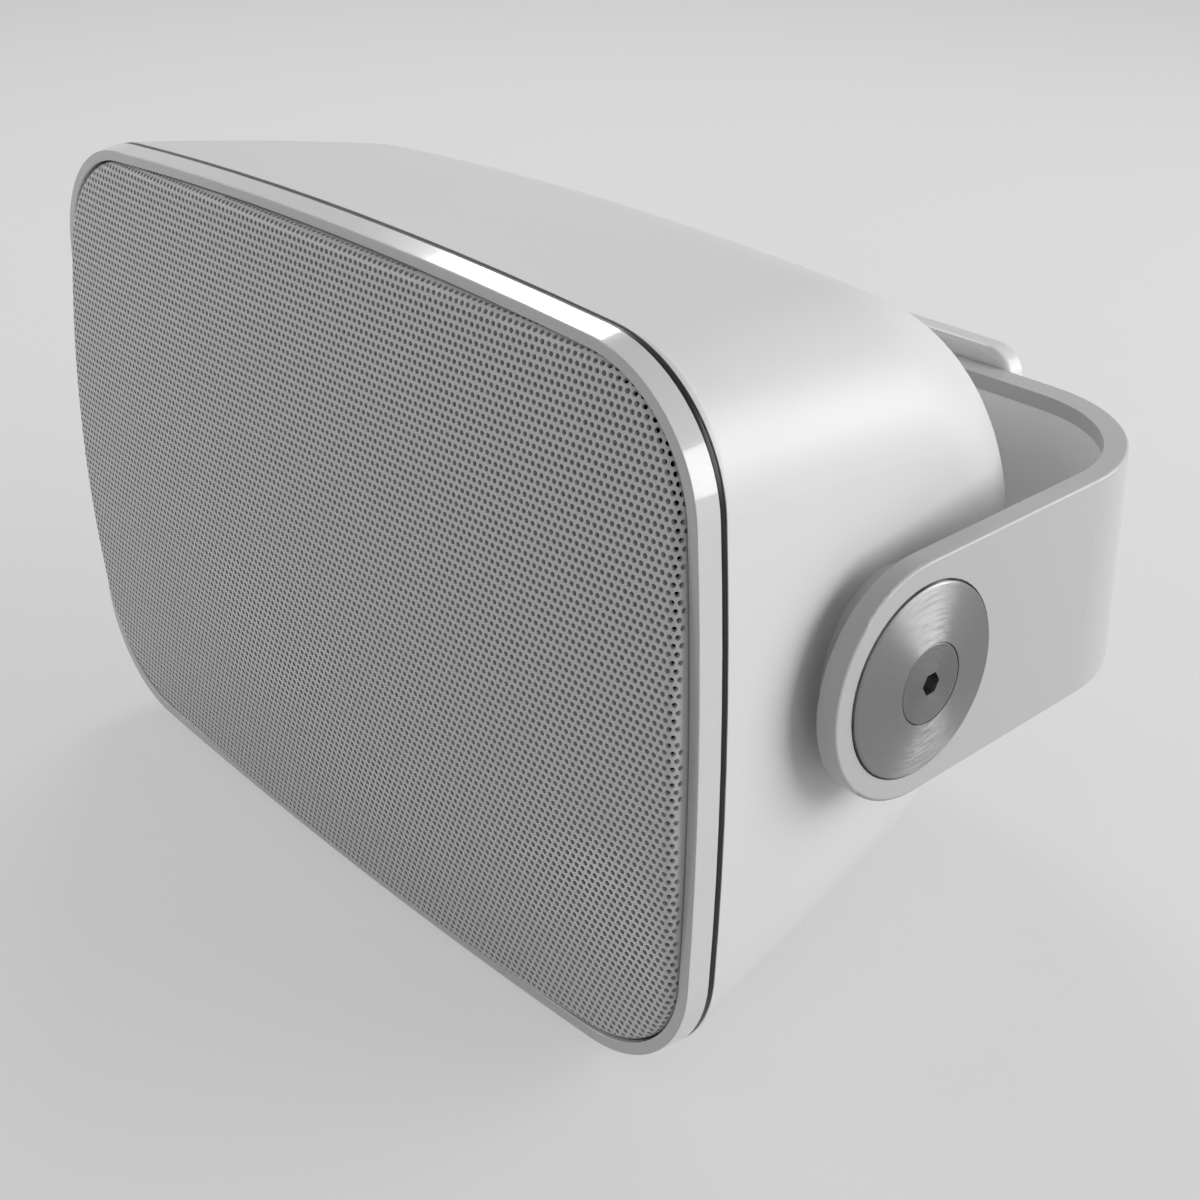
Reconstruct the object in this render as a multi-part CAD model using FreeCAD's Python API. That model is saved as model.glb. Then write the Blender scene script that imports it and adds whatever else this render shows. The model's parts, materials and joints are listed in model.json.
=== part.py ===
import FreeCAD, Part
import functools
import math
import os

V = FreeCAD.Vector

# Outdoor wall speaker in a U bracket, in millimetres.
# Origin: centre of the wall plate's back face. X to the right seen from the front,
# Y into the wall, Z up. The tilt axis is parallel to X at the height of the origin.

# Outer form of the cabinet, largest at the front
cabinet_width = 271.4
cabinet_height = 190.8
cabinet_depth = 152.5
corner_radius = 36.4
side_bow = 5.0
top_bow = 6.1
nose_share = 0.969
straight_depth = 8.0
side_draft_deg = 7.4
flank_lean_deg = 7.2
shell_wall = 4.0
form_lead = 20.0
form_overrun = 15.0

# Front frame, seam seal and baffle
frame_depth = 5.9
frame_rim = 3.9
frame_taper = 0.9
frame_edge_radius = 0.3
seam_width = 1.9
seam_inset = 1.2
seal_width = 8.0
baffle_thickness = 6.0
post_radius = 6.0
post_length = 30.0
post_web = 5.0
post_edge = 9.0
post_middle_x = 8.0
post_hole_radius = 1.6
post_hole_depth = 20.0
baffle_hole_radius = 2.2
slip_gap = 0.3

# Grille
grille_gap = 0.4
grille_sheet = 1.2
grille_edge_radius = 2.6
grille_peak = 9.2
grille_rise_x = 5.1
grille_rise_z = 7.2
perforation_pitch = 16.0
perforation_radius = 5.0
perforation_margin = 9.0
scrim_sheet = 0.6
scrim_gap = 0.1
scrim_margin = 1.5

# Tilt axis and bracket
axis_to_wall = 117.0
axis_setback = 65.5
axis_above_centre = 1.5
strap_half_span = 142.6
strap_height = 61.0
strap_arm_thickness = 5.5
strap_web_thickness = 8.0
strap_bend_radius = 44.0
strap_edge_radius = 0.8
cover_thickness = 1.6
cover_lip = 4.5
cover_sink = 0.4
cover_arm_length = 40.0
cover_gap = 0.2

# Wall plate
plate_width = 166.0
plate_height = 71.0
plate_thickness = 6.5
plate_corner_radius = 9.0
plate_edge_radius = 2.0
wall_hole_span_x = 140.0
wall_hole_span_z = 46.0
wall_hole_radius = 2.75
wall_head_radius = 5.0
wall_head_depth = 3.2
web_screw_span = 90.0
web_screw_radius = 2.5
web_screw_head_radius = 4.6
web_screw_head_height = 2.6
web_screw_gap = 0.3
web_screw_tip_gap = 1.0

# Pivot at each arm
disc_radius = 24.4
disc_thickness = 3.0
disc_proud = 0.8
disc_crown = 1.7
disc_gap = 0.6
disc_bevel = 0.4
cap_radius = 10.1
cap_gap = 0.25
cap_thickness = 1.0
cap_bevel = 0.15
pivot_radius = 6.0
pivot_running_gap = 0.05
pivot_thread_length = 14.0
pivot_socket = 6.0
pivot_socket_depth = 3.0
washer_radius = 21.0
washer_thickness = 0.9
washer_gap = 0.1
washer_bore_gap = 0.3
boss_radius = 23.0
insert_radius = 9.0
insert_floor = 2.0
boss_root = 8.0

# Woofer
woofer_x = -58.0
woofer_z = 0.0
woofer_flange_radius = 64.0
woofer_cone_radius = 50.0
woofer_cone_depth = 20.0
woofer_basket_depth = 38.0
woofer_magnet_radius = 38.0
woofer_magnet_depth = 22.0
woofer_coil_radius = 13.0
woofer_neck_radius = 30.0
frame_bore_gap = 2.5
basket_windows = 6
window_width = 18.0
window_start = 4.0
window_length = 20.0
dust_cap_radius = 19.0
dust_cap_ball = 26.0
dust_cap_sheet = 0.8
spider_setback = 9.0
spider_wave = 1.2
spider_waves = 6
spider_sheet = 0.6
spider_gap = 0.2
flange_thickness = 3.0
flange_width = 7.0
basket_wall = 2.2
surround_lip = 3.0
surround_sheet = 0.8
glue_gap = 0.1
cone_sheet = 1.2
cone_edge = 2.0
former_sheet = 0.7
coil_end_gap = 12.0
pole_gap = 1.0
slot_gap = 1.6
magnet_floor = 6.0

# Passive radiator
radiator_x = 71.0
radiator_z = -30.0
radiator_flange_radius = 50.0
radiator_cone_radius = 36.0
radiator_basket_depth = 18.0
radiator_basket_taper = 5.0
radiator_ring_width = 6.0
radiator_cone_depth = 6.0
radiator_weight_radius = 12.0
radiator_weight_depth = 5.0

# Tweeter
tweeter_x = 62.0
tweeter_z = 56.0
tweeter_flange_radius = 27.0
tweeter_dome_radius = 12.5
tweeter_ball = 16.0
tweeter_seat = 0.8
tweeter_throat_gap = 2.0
tweeter_flare = 2.4
tweeter_bevel = 0.6
tweeter_bevel_width = 5.0
tweeter_dome_sheet = 0.5
tweeter_former = 5.0
tweeter_slot_gap = 0.9
tweeter_slot_depth = 6.0
tweeter_roll_sheet = 0.4
tweeter_roll_gap = 0.1
tweeter_magnet_radius = 19.0
tweeter_magnet_depth = 16.0

# Rear terminals
cup_width = 56.0
cup_height = 26.0
cup_depth = 16.0
cup_wall = 2.5
cup_corner = 5.0
terminal_spacing = 26.0
terminal_radius = 5.5
terminal_tail = 6.0
terminal_gap = 0.05
terminal_collar = 1.5
terminal_collar_height = 5.0
button_radius = 3.25
button_gap = 0.05
button_low = 1.0
button_length = 8.5
button_well = 2.0

# Crossover and damping
board_width = 64.0
board_height = 40.0
board_thickness = 1.6
coil_radius = 13.0
coil_bore = 5.2
coil_height = 14.0
coil_offset = 16.0
capacitor_radius = 8.0
wadding_front = 90.0
wadding_thickness = 22.0

front_y = -(axis_to_wall + axis_setback)
cabinet_z = -axis_above_centre
half_w = 0.5 * cabinet_width
half_h = 0.5 * cabinet_height
shell_front = frame_depth + seam_width
baffle_back = shell_front + baffle_thickness

# Cutting tools run this far past what they cut
past = 1.0
far_past = 5.0


def save(shape, node):
    shape = shape.removeSplitter()
    if shape.ShapeType == "Compound" and len(shape.Solids) == 1:
        shape = shape.Solids[0]
    shape.exportStep("parts/" + node + ".step")
    print(node, "valid", shape.isValid(), "solids", len(shape.Solids), "volume", round(shape.Volume, 1))


def on_cabinet(shape, node):
    placed = shape.copy()
    placed.translate(V(0, front_y, cabinet_z))
    save(placed, node)


def slab(y_low, y_high, half_x=cabinet_width, half_z=cabinet_width):
    return Part.makeBox(2 * half_x, y_high - y_low, 2 * half_z, V(-half_x, y_low, -half_z))


def disc_y(radius, y_low, y_high, x=0.0, z=0.0):
    return Part.makeCylinder(radius, y_high - y_low, V(x, y_low, z), V(0, 1, 0))


def disc_x(radius, x_low, x_high, y=0.0, z=0.0):
    return Part.makeCylinder(radius, x_high - x_low, V(x_low, y, z), V(1, 0, 0))


def turned_y(points, x, z):
    """Solid of revolution about an axis along Y through (x, z); points are (radius, y)."""
    corners = [V(radius, y, 0) for radius, y in points]
    face = Part.Face(Part.makePolygon(corners + [corners[0]]))
    solid = face.revolve(V(0, 0, 0), V(0, 1, 0), 360)
    solid.translate(V(x, 0, z))
    return solid


# Outer form

def side_profile(x, half_height, nose_y):
    """Bullet-shaped side view: straight at the front, a flank arc that leans in, then the nose arc.

    The nose arc is a share of the largest one that still meets a flank with this lean.
    """
    lean = math.radians(flank_lean_deg)
    length = nose_y - straight_depth
    largest = (half_height * math.cos(lean) - length * math.sin(lean)) / (1 - math.sin(lean))
    radius = nose_share * largest
    run = length - radius
    slack = half_height * math.cos(lean) - run * math.sin(lean) - radius
    flank_radius = (run ** 2 + half_height ** 2 - radius ** 2) / (2 * slack)
    flank_y = straight_depth - flank_radius * math.sin(lean)
    flank_z = half_height - flank_radius * math.cos(lean)
    angle = math.atan2(-flank_z, nose_y - radius - flank_y)
    mid_angle = 0.5 * (angle + 0.5 * math.pi - lean)
    meet_y = flank_y + flank_radius * math.cos(angle)
    meet_z = flank_z + flank_radius * math.sin(angle)
    mid_y = flank_y + flank_radius * math.cos(mid_angle)
    mid_z = flank_z + flank_radius * math.sin(mid_angle)
    start_y = -form_lead
    edges = [
        Part.LineSegment(V(x, start_y, -half_height), V(x, start_y, half_height)),
        Part.LineSegment(V(x, start_y, half_height), V(x, straight_depth, half_height)),
        Part.Arc(V(x, straight_depth, half_height), V(x, mid_y, mid_z), V(x, meet_y, meet_z)),
        Part.Arc(V(x, meet_y, meet_z), V(x, nose_y, 0), V(x, meet_y, -meet_z)),
        Part.Arc(V(x, meet_y, -meet_z), V(x, mid_y, -mid_z), V(x, straight_depth, -half_height)),
        Part.LineSegment(V(x, straight_depth, -half_height), V(x, start_y, -half_height)),
    ]
    return Part.Wire([edge.toShape() for edge in edges])


def side_section(y, half_width):
    reach = half_h + form_overrun
    drop = side_bow * (reach / half_h) ** 2
    low_left = V(-half_width + drop, y, -reach)
    high_left = V(-half_width + drop, y, reach)
    low_right = V(half_width - drop, y, -reach)
    high_right = V(half_width - drop, y, reach)
    edges = [
        Part.Arc(low_left, V(-half_width, y, 0), high_left),
        Part.LineSegment(high_left, high_right),
        Part.Arc(high_right, V(half_width, y, 0), low_right),
        Part.LineSegment(low_right, low_left),
    ]
    return Part.Wire([edge.toShape() for edge in edges])


def side_x(y):
    """Half width of the outside at mid height, at a depth in the drafted part."""
    return half_w - (y - straight_depth) * math.tan(math.radians(side_draft_deg))


@functools.lru_cache(maxsize=None)
def outer_form(inset):
    """The cabinet's moulded form, offset inwards by inset and run on past the front."""
    end_x = half_w + far_past
    crown = top_bow * (end_x / half_w) ** 2
    tall = half_h - inset
    nose = cabinet_depth - inset
    profiles = [
        side_profile(-end_x, tall - crown, nose - crown),
        side_profile(0, tall, nose),
        side_profile(end_x, tall - crown, nose - crown),
    ]
    barrel = Part.makeLoft(profiles, True, False)
    wide = half_w - inset
    end_y = cabinet_depth + form_overrun
    middle = side_section(straight_depth, wide)
    front_block = Part.makeLoft([side_section(-form_lead, wide), middle], True, True)
    rear_block = Part.makeLoft([middle, side_section(end_y, side_x(end_y) - inset)], True, True)
    body = barrel.common(front_block.fuse(rear_block).removeSplitter())
    corner_edges = []
    for edge in body.Edges:
        box = edge.BoundBox
        at_side = box.XMin > 0.6 * half_w or box.XMax < -0.6 * half_w
        if at_side and box.YMax - box.YMin > past:
            corner_edges.append(edge)
    return body.makeFillet(corner_radius - inset, corner_edges)


def form_slice(form, y_low, y_high):
    return form.common(slab(y_low, y_high))


# Cabinet mouldings

def cabinet_shell():
    end = cabinet_depth + far_past
    shell = form_slice(outer_form(0.0), shell_front, end)
    shell = shell.cut(form_slice(outer_form(shell_wall), shell_front - past, end))
    for side in (-1, 1):
        shell = shell.fuse(boss_block(side).common(outer_form(0.0)))
        shell = shell.cut(insert_pocket(side))
    shell = shell.fuse(baffle_posts())
    return shell.cut(cup_block(slip_gap, end))


def boss_face_x():
    return strap_half_span - strap_arm_thickness - washer_gap - washer_thickness - washer_gap


def boss_inner_x():
    """Inner end of a pivot boss: past its insert, and always well inside the side wall."""
    past_insert = boss_face_x() - pivot_thread_length - insert_floor - shell_wall
    inside_wall = side_x(axis_setback) - shell_wall - boss_root
    return min(past_insert, inside_wall)


def boss_block(side):
    low, high = sorted((side * boss_inner_x(), side * boss_face_x()))
    return disc_x(boss_radius, low, high, axis_setback, axis_above_centre)


def pivot_spacer(side):
    """Moulded ring between the cabinet's side and the friction washer, round the insert."""
    return boss_block(side).cut(outer_form(0.0)).cut(insert_pocket(side))


def insert_pocket(side):
    floor = boss_face_x() - pivot_thread_length - insert_floor
    low, high = sorted((side * floor, side * (boss_face_x() + past)))
    return disc_x(insert_radius, low, high, axis_setback, axis_above_centre)


def post_places():
    """Screw posts: one in each corner of the cavity and one in the middle of each long side."""
    cavity_w = half_w - shell_wall
    cavity_h = half_h - shell_wall
    cavity_radius = corner_radius - shell_wall
    outward = (cavity_radius - post_edge) / math.sqrt(2)
    places = []
    for side_x in (-1, 1):
        for side_z in (-1, 1):
            places.append((side_x * (cavity_w - cavity_radius + outward),
                           side_z * (cavity_h - cavity_radius + outward)))
    for side_z in (-1, 1):
        places.append((post_middle_x, side_z * (cavity_h - post_edge)))
    return places


def baffle_posts():
    posts = []
    for x, z in post_places():
        post = disc_y(post_radius, baffle_back, baffle_back + post_length, x, z)
        web = Part.makeBox(post_web, post_length, 3 * post_edge, V(-0.5 * post_web, baffle_back, 0))
        web.rotate(V(0, 0, 0), V(0, 1, 0), math.degrees(math.atan2(x, z)))
        web.translate(V(x, 0, z))
        posts.append(post.fuse(web))
    joined = posts[0].multiFuse(posts[1:])
    for x, z in post_places():
        joined = joined.cut(disc_y(post_hole_radius, baffle_back - past, baffle_back + post_hole_depth, x, z))
    half_way_into_wall = outer_form(0.5 * shell_wall)
    return joined.common(form_slice(half_way_into_wall, shell_front, cabinet_depth))


def outline_wire(inset, y):
    """The form's outline at a depth, inset mm inside it."""
    return outer_form(inset).slice(V(0, 1, 0), y)[0]


def front_frame():
    """Rim round the grille, whose outer band widens towards the seam."""
    ring = Part.makeLoft([outline_wire(frame_taper, 0.0), outline_wire(0.0, frame_depth)], True, True)
    opening = form_slice(outer_form(frame_rim), -past, frame_depth + past)
    ring = ring.cut(opening)
    front_edges = [edge for edge in ring.Edges if edge.BoundBox.YMax < 0.01]
    return ring.makeFillet(frame_edge_radius, front_edges)


def seam_seal():
    ring = form_slice(outer_form(seam_inset), frame_depth, shell_front)
    opening = form_slice(outer_form(seam_inset + seal_width), frame_depth - past, shell_front + past)
    return ring.cut(opening)


def baffle():
    plate = form_slice(outer_form(shell_wall + slip_gap), shell_front, baffle_back)
    holes = [
        (woofer_mouth_radius() + basket_wall + slip_gap, woofer_x, woofer_z),
        (radiator_mouth_radius() + basket_wall + slip_gap, radiator_x, radiator_z),
        (tweeter_magnet_radius + slip_gap, tweeter_x, tweeter_z),
    ]
    for radius, x, z in holes:
        plate = plate.cut(disc_y(radius, shell_front - past, baffle_back + past, x, z))
    for x, z in post_places():
        plate = plate.cut(disc_y(baffle_hole_radius, shell_front - past, baffle_back + past, x, z))
    return plate


# Grille

def dome_block(sink, back_y):
    """Space behind a doubly curved front face that is sink mm behind the grille's face."""
    arc_radius = half_h ** 2 / (2 * grille_rise_z) - sink
    turn_radius = half_w ** 2 / (2 * grille_rise_x) - sink
    peak = -grille_peak + sink
    reach = half_h + far_past
    drop = arc_radius - math.sqrt(arc_radius ** 2 - reach ** 2)
    back = back_y + form_lead
    edges = [
        Part.Arc(V(0, peak + drop, -reach), V(0, peak, 0), V(0, peak + drop, reach)),
        Part.LineSegment(V(0, peak + drop, reach), V(0, back, reach)),
        Part.LineSegment(V(0, back, reach), V(0, back, -reach)),
        Part.LineSegment(V(0, back, -reach), V(0, peak + drop, -reach)),
    ]
    face = Part.Face(Part.Wire([edge.toShape() for edge in edges]))
    half_angle = math.degrees(math.asin((half_w + far_past) / turn_radius))
    axis = V(0, peak + turn_radius, 0)
    face.rotate(axis, V(0, 0, 1), -half_angle)
    block = face.revolve(axis, V(0, 0, 1), 2 * half_angle)
    return block.common(slab(-form_lead, back_y))


def domed_block(inset, sink, edge_radius):
    """Solid inside the grille's outline with a domed, rounded front, run on past its back."""
    back_y = frame_depth + form_overrun
    block = form_slice(outer_form(inset), past - form_lead, back_y).common(dome_block(sink, back_y))
    edges = [edge for edge in block.Edges if edge.BoundBox.YMax < frame_depth]
    return block.makeFillet(edge_radius, edges)


def perforation(outline_inset):
    """Staggered rows of six-sided punches, kept clear of the rolled edge."""
    row_step = perforation_pitch * math.sqrt(3) / 2
    inside = form_slice(outer_form(outline_inset), -past, 0.0)
    punches = []
    rows = int(half_h / row_step)
    columns = int(half_w / perforation_pitch) + 1
    for row in range(-rows, rows + 1):
        shift = 0.5 * perforation_pitch if row % 2 else 0.0
        for column in range(-columns, columns + 1):
            x = column * perforation_pitch + shift
            z = row * row_step
            if not inside.isInside(V(x, -0.5 * past, z), 0.01, True):
                continue
            corners = []
            for step in range(7):
                angle = math.radians(60 * step + 30)
                corners.append(V(x + perforation_radius * math.cos(angle), -form_lead,
                                 z + perforation_radius * math.sin(angle)))
            punches.append(Part.Face(Part.makePolygon(corners)).extrude(V(0, 2 * form_lead, 0)))
    print("perforations", len(punches))
    return Part.makeCompound(punches)


def grille():
    inset = frame_rim + grille_gap
    outside = domed_block(inset, 0.0, grille_edge_radius)
    inside = domed_block(inset + grille_sheet, grille_sheet, grille_edge_radius - grille_sheet)
    tray = form_slice(outside.cut(inside), -form_lead, frame_depth)
    return tray.cut(perforation(inset + perforation_margin))


def scrim():
    sink = grille_sheet + scrim_gap
    inset = frame_rim + grille_gap + grille_sheet + scrim_margin
    outline = form_slice(outer_form(inset), past - form_lead, frame_depth)
    sheet = dome_block(sink, frame_depth).cut(dome_block(sink + scrim_sheet, frame_depth + past))
    return sheet.common(outline)


# Drive units

def flange_front():
    """Front face of the drive units' flanges, which stand on the front of the baffle."""
    return shell_front - flange_thickness


def woofer_back():
    return shell_front + woofer_basket_depth


def woofer_mouth_radius():
    return woofer_flange_radius - flange_width


def radiator_mouth_radius():
    return radiator_flange_radius - flange_width


def basket_inner_radius(y):
    """Inside radius of the woofer's conical basket at a depth."""
    start = woofer_mouth_radius()
    share = (y - shell_front) / (woofer_back() - basket_wall - shell_front)
    return start + share * (woofer_neck_radius - start)


def woofer_frame():
    front = flange_front()
    back = woofer_back()
    mouth = woofer_mouth_radius()
    hole = woofer_coil_radius + frame_bore_gap
    points = [
        (mouth, front), (woofer_flange_radius, front), (woofer_flange_radius, shell_front),
        (mouth + basket_wall, shell_front), (woofer_neck_radius + basket_wall, back - basket_wall),
        (woofer_neck_radius + basket_wall, back), (hole, back), (hole, back - basket_wall),
        (woofer_neck_radius, back - basket_wall), (mouth, shell_front),
    ]
    frame = turned_y(points, 0, 0)
    for turn in range(basket_windows):
        window = Part.makeBox(window_width, window_length, 2 * mouth,
                              V(-0.5 * window_width, baffle_back + window_start, 0.5 * woofer_neck_radius))
        window.rotate(V(0, 0, 0), V(0, 1, 0), 360.0 / basket_windows * turn)
        frame = frame.cut(window)
    frame.translate(V(woofer_x, 0, woofer_z))
    return frame


def woofer_magnet():
    """Magnet, plates and pole in one, with the ring-shaped slot for the coil."""
    back = woofer_back()
    end = back + woofer_magnet_depth
    pole = woofer_coil_radius - pole_gap
    slot = woofer_coil_radius + slot_gap
    slot_end = end - magnet_floor
    points = [(0, back - pole_gap), (pole, back - pole_gap), (pole, slot_end), (slot, slot_end),
              (slot, back), (woofer_magnet_radius, back), (woofer_magnet_radius, end), (0, end)]
    return turned_y(points, woofer_x, woofer_z)


def woofer_cone():
    """Cone with a flat edge, and the coil former that reaches into the magnet's slot."""
    rim = woofer_cone_radius
    coil = woofer_coil_radius
    former = coil + former_sheet
    seat = flange_front() + glue_gap
    neck_y = seat + woofer_cone_depth
    end = woofer_back() + woofer_magnet_depth - coil_end_gap
    points = [(rim, seat), (rim, seat + cone_sheet), (rim - cone_edge, seat + cone_sheet),
              (former, neck_y + cone_sheet), (former, end), (coil, end), (coil, neck_y),
              (rim - cone_edge, seat)]
    return turned_y(points, woofer_x, woofer_z)


def woofer_dust_cap():
    """Part of a ball whose edge stands on the cone's front face."""
    edge = woofer_cone_radius - cone_edge
    slope = woofer_cone_depth / (edge - woofer_coil_radius)
    foot_y = flange_front() + (edge - dust_cap_radius) * slope
    centre_y = foot_y + math.sqrt(dust_cap_ball ** 2 - dust_cap_radius ** 2)
    outer = Part.makeSphere(dust_cap_ball, V(woofer_x, centre_y, woofer_z))
    inner = Part.makeSphere(dust_cap_ball - dust_cap_sheet, V(woofer_x, centre_y, woofer_z))
    keep = disc_y(dust_cap_ball, foot_y - dust_cap_ball, foot_y, woofer_x, woofer_z)
    return outer.cut(inner).common(keep)


def half_roll(inner_radius, outer_radius, seat_y, lip, sheet, x, z):
    """Rubber half-roll edge between a cone and its frame, bulging to the front."""
    middle = 0.5 * (inner_radius + outer_radius)
    roll = 0.5 * (outer_radius - inner_radius)
    outer_arc = Part.Arc(V(middle - roll, seat_y, 0), V(middle, seat_y - roll, 0),
                         V(middle + roll, seat_y, 0))
    inner_roll = roll - sheet
    inner_arc = Part.Arc(V(middle + inner_roll, seat_y, 0), V(middle, seat_y - inner_roll, 0),
                         V(middle - inner_roll, seat_y, 0))
    edges = [
        outer_arc,
        Part.LineSegment(V(middle + roll, seat_y, 0), V(middle + inner_roll, seat_y, 0)),
        inner_arc,
        Part.LineSegment(V(middle - inner_roll, seat_y, 0), V(middle - roll, seat_y, 0)),
    ]
    face = Part.Face(Part.Wire([edge.toShape() for edge in edges]))
    roll_solid = face.revolve(V(0, 0, 0), V(0, 1, 0), 360)
    roll_solid.translate(V(x, 0, z))
    inner_lip = disc_y(middle - inner_roll, seat_y - sheet, seat_y, x, z)
    inner_lip = inner_lip.cut(disc_y(inner_radius - lip, seat_y - far_past, seat_y + far_past, x, z))
    outer_lip = disc_y(outer_radius + lip, seat_y - sheet, seat_y, x, z)
    outer_lip = outer_lip.cut(disc_y(middle + inner_roll, seat_y - far_past, seat_y + far_past, x, z))
    return roll_solid.fuse(inner_lip).fuse(outer_lip)


def woofer_surround():
    return half_roll(woofer_cone_radius, woofer_mouth_radius(), flange_front(), surround_lip, surround_sheet,
                     woofer_x, woofer_z)


def woofer_spider():
    """Corrugated disc between the coil former and the basket."""
    y = woofer_back() - spider_setback
    inner = woofer_coil_radius + former_sheet + glue_gap
    outer = basket_inner_radius(y + spider_wave + spider_sheet) - spider_gap
    step = (outer - inner) / spider_waves
    top = []
    bottom = []
    for index in range(spider_waves + 1):
        lift = spider_wave if index % 2 else -spider_wave
        top.append((inner + index * step, y + lift))
        bottom.append((inner + index * step, y + lift + spider_sheet))
    return turned_y(top + bottom[::-1], woofer_x, woofer_z)


def radiator_frame():
    front = flange_front()
    mouth = radiator_mouth_radius()
    ring_y = shell_front + radiator_basket_depth
    ring = mouth - radiator_basket_taper
    bore = ring - radiator_ring_width
    points = [
        (mouth, front), (radiator_flange_radius, front), (radiator_flange_radius, shell_front),
        (mouth + basket_wall, shell_front), (ring + basket_wall, ring_y),
        (ring + basket_wall, ring_y + basket_wall), (bore, ring_y + basket_wall), (bore, ring_y),
        (ring, ring_y), (mouth, shell_front),
    ]
    return turned_y(points, radiator_x, radiator_z)


def radiator_cone():
    """Flat-bottomed dish with a weight behind it."""
    seat = flange_front() + glue_gap
    floor = seat + radiator_cone_depth
    end = floor + radiator_weight_depth
    rim = radiator_cone_radius
    weight = radiator_weight_radius
    points = [(0, floor), (weight, floor), (rim - cone_edge, seat), (rim, seat), (rim, seat + cone_sheet),
              (rim - cone_edge, seat + cone_sheet), (weight, floor + cone_sheet), (weight, end), (0, end)]
    return turned_y(points, radiator_x, radiator_z)


def radiator_surround():
    return half_roll(radiator_cone_radius, radiator_mouth_radius(), flange_front(), surround_lip,
                     surround_sheet, radiator_x, radiator_z)


def tweeter_plate():
    """Round plate with a shallow flare round the dome."""
    front = flange_front()
    rim = tweeter_flange_radius
    throat = tweeter_dome_radius + tweeter_throat_gap
    points = [(throat, front + tweeter_flare), (rim - tweeter_bevel_width, front),
              (rim, front + tweeter_bevel), (rim, shell_front), (throat, shell_front)]
    return turned_y(points, tweeter_x, tweeter_z)


def tweeter_magnet():
    front = shell_front
    end = front + tweeter_magnet_depth
    pole = tweeter_dome_radius - pole_gap
    slot = tweeter_dome_radius + tweeter_slot_gap
    slot_end = front + tweeter_slot_depth
    points = [(0, front + pole_gap), (pole, front + pole_gap), (pole, slot_end), (slot, slot_end),
              (slot, front), (tweeter_magnet_radius, front), (tweeter_magnet_radius, end), (0, end)]
    return turned_y(points, tweeter_x, tweeter_z)


def tweeter_surround():
    seat = shell_front - tweeter_seat
    inner = tweeter_dome_radius + 0.5 * tweeter_roll_gap
    outer = tweeter_dome_radius + tweeter_throat_gap - tweeter_roll_gap
    return half_roll(inner, outer, seat, 0.0, tweeter_roll_sheet, tweeter_x, tweeter_z)


def tweeter_dome():
    """Thin dome with its coil former behind it."""
    foot = shell_front - tweeter_seat
    dome = tweeter_dome_radius
    ball = tweeter_ball
    sheet = tweeter_dome_sheet
    centre_y = foot + math.sqrt(ball ** 2 - dome ** 2)
    cap = Part.makeSphere(ball, V(0, centre_y, 0)).cut(Part.makeSphere(ball - sheet, V(0, centre_y, 0)))
    cap = cap.common(disc_y(dome, foot - ball, foot))
    end = foot + tweeter_former
    former = disc_y(dome, foot, end).cut(disc_y(dome - sheet, foot - past, end + past))
    whole = cap.fuse(former)
    whole.translate(V(tweeter_x, 0, tweeter_z))
    return whole


# Rear cable terminals

def depth_edges(block):
    """A block's edges that run along the depth."""
    return [edge for edge in block.Edges if edge.BoundBox.YMax - edge.BoundBox.YMin > cup_depth - past]


def cup_block(gap, y_high):
    low = cabinet_depth - cup_depth - cup_wall - gap
    half_x = 0.5 * cup_width + gap
    half_z = 0.5 * cup_height + gap
    block = Part.makeBox(2 * half_x, y_high - low, 2 * half_z, V(-half_x, low, -half_z))
    return block.makeFillet(cup_corner + gap, depth_edges(block))


def terminal_cup():
    """Tray that follows the housing's back, with a hole for each terminal in its floor."""
    floor = cabinet_depth - cup_depth
    block = cup_block(0.0, cabinet_depth + far_past).common(outer_form(0.0))
    half_x = 0.5 * cup_width - cup_wall
    half_z = 0.5 * cup_height - cup_wall
    hollow = Part.makeBox(2 * half_x, 2 * cup_depth, 2 * half_z, V(-half_x, floor, -half_z))
    cup = block.cut(hollow.makeFillet(cup_corner - cup_wall, depth_edges(hollow)))
    for side in (-1, 1):
        x = 0.5 * side * terminal_spacing
        cup = cup.cut(disc_y(terminal_radius + terminal_gap, floor - cup_wall - past, floor + past, x, 0))
    return cup


def terminal_back():
    return cabinet_depth - cup_depth - cup_wall - terminal_tail


def terminal_body(side):
    x = 0.5 * side * terminal_spacing
    floor = cabinet_depth - cup_depth
    top = floor + terminal_collar_height
    body = disc_y(terminal_radius, terminal_back(), floor, x, 0)
    body = body.fuse(disc_y(terminal_radius + terminal_collar, floor, top, x, 0))
    return body.cut(disc_y(button_radius + button_gap, floor - cup_wall - button_well, top + past, x, 0))


def terminal_button(side):
    x = 0.5 * side * terminal_spacing
    low = cabinet_depth - cup_depth + button_low
    return disc_y(button_radius, low, low + button_length, x, 0)


# Crossover and damping inside

def crossover_board():
    """Board that stands on the terminals' tails."""
    y = terminal_back()
    return Part.makeBox(board_width, board_thickness, board_height,
                        V(-0.5 * board_width, y - board_thickness, -0.5 * board_height))


def crossover_coil():
    front = terminal_back() - board_thickness
    outer = disc_y(coil_radius, front - coil_height, front, -coil_offset, 0)
    return outer.cut(disc_y(coil_bore, front - coil_height - past, front + past, -coil_offset, 0))


def crossover_capacitor():
    front = terminal_back() - board_thickness
    return disc_y(capacitor_radius, front - coil_height, front, coil_offset, 0)


def wadding():
    return form_slice(outer_form(shell_wall + slip_gap), wadding_front, wadding_front + wadding_thickness)


# Pivot

def recess_floor_x():
    return strap_half_span + disc_proud - disc_thickness


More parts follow.
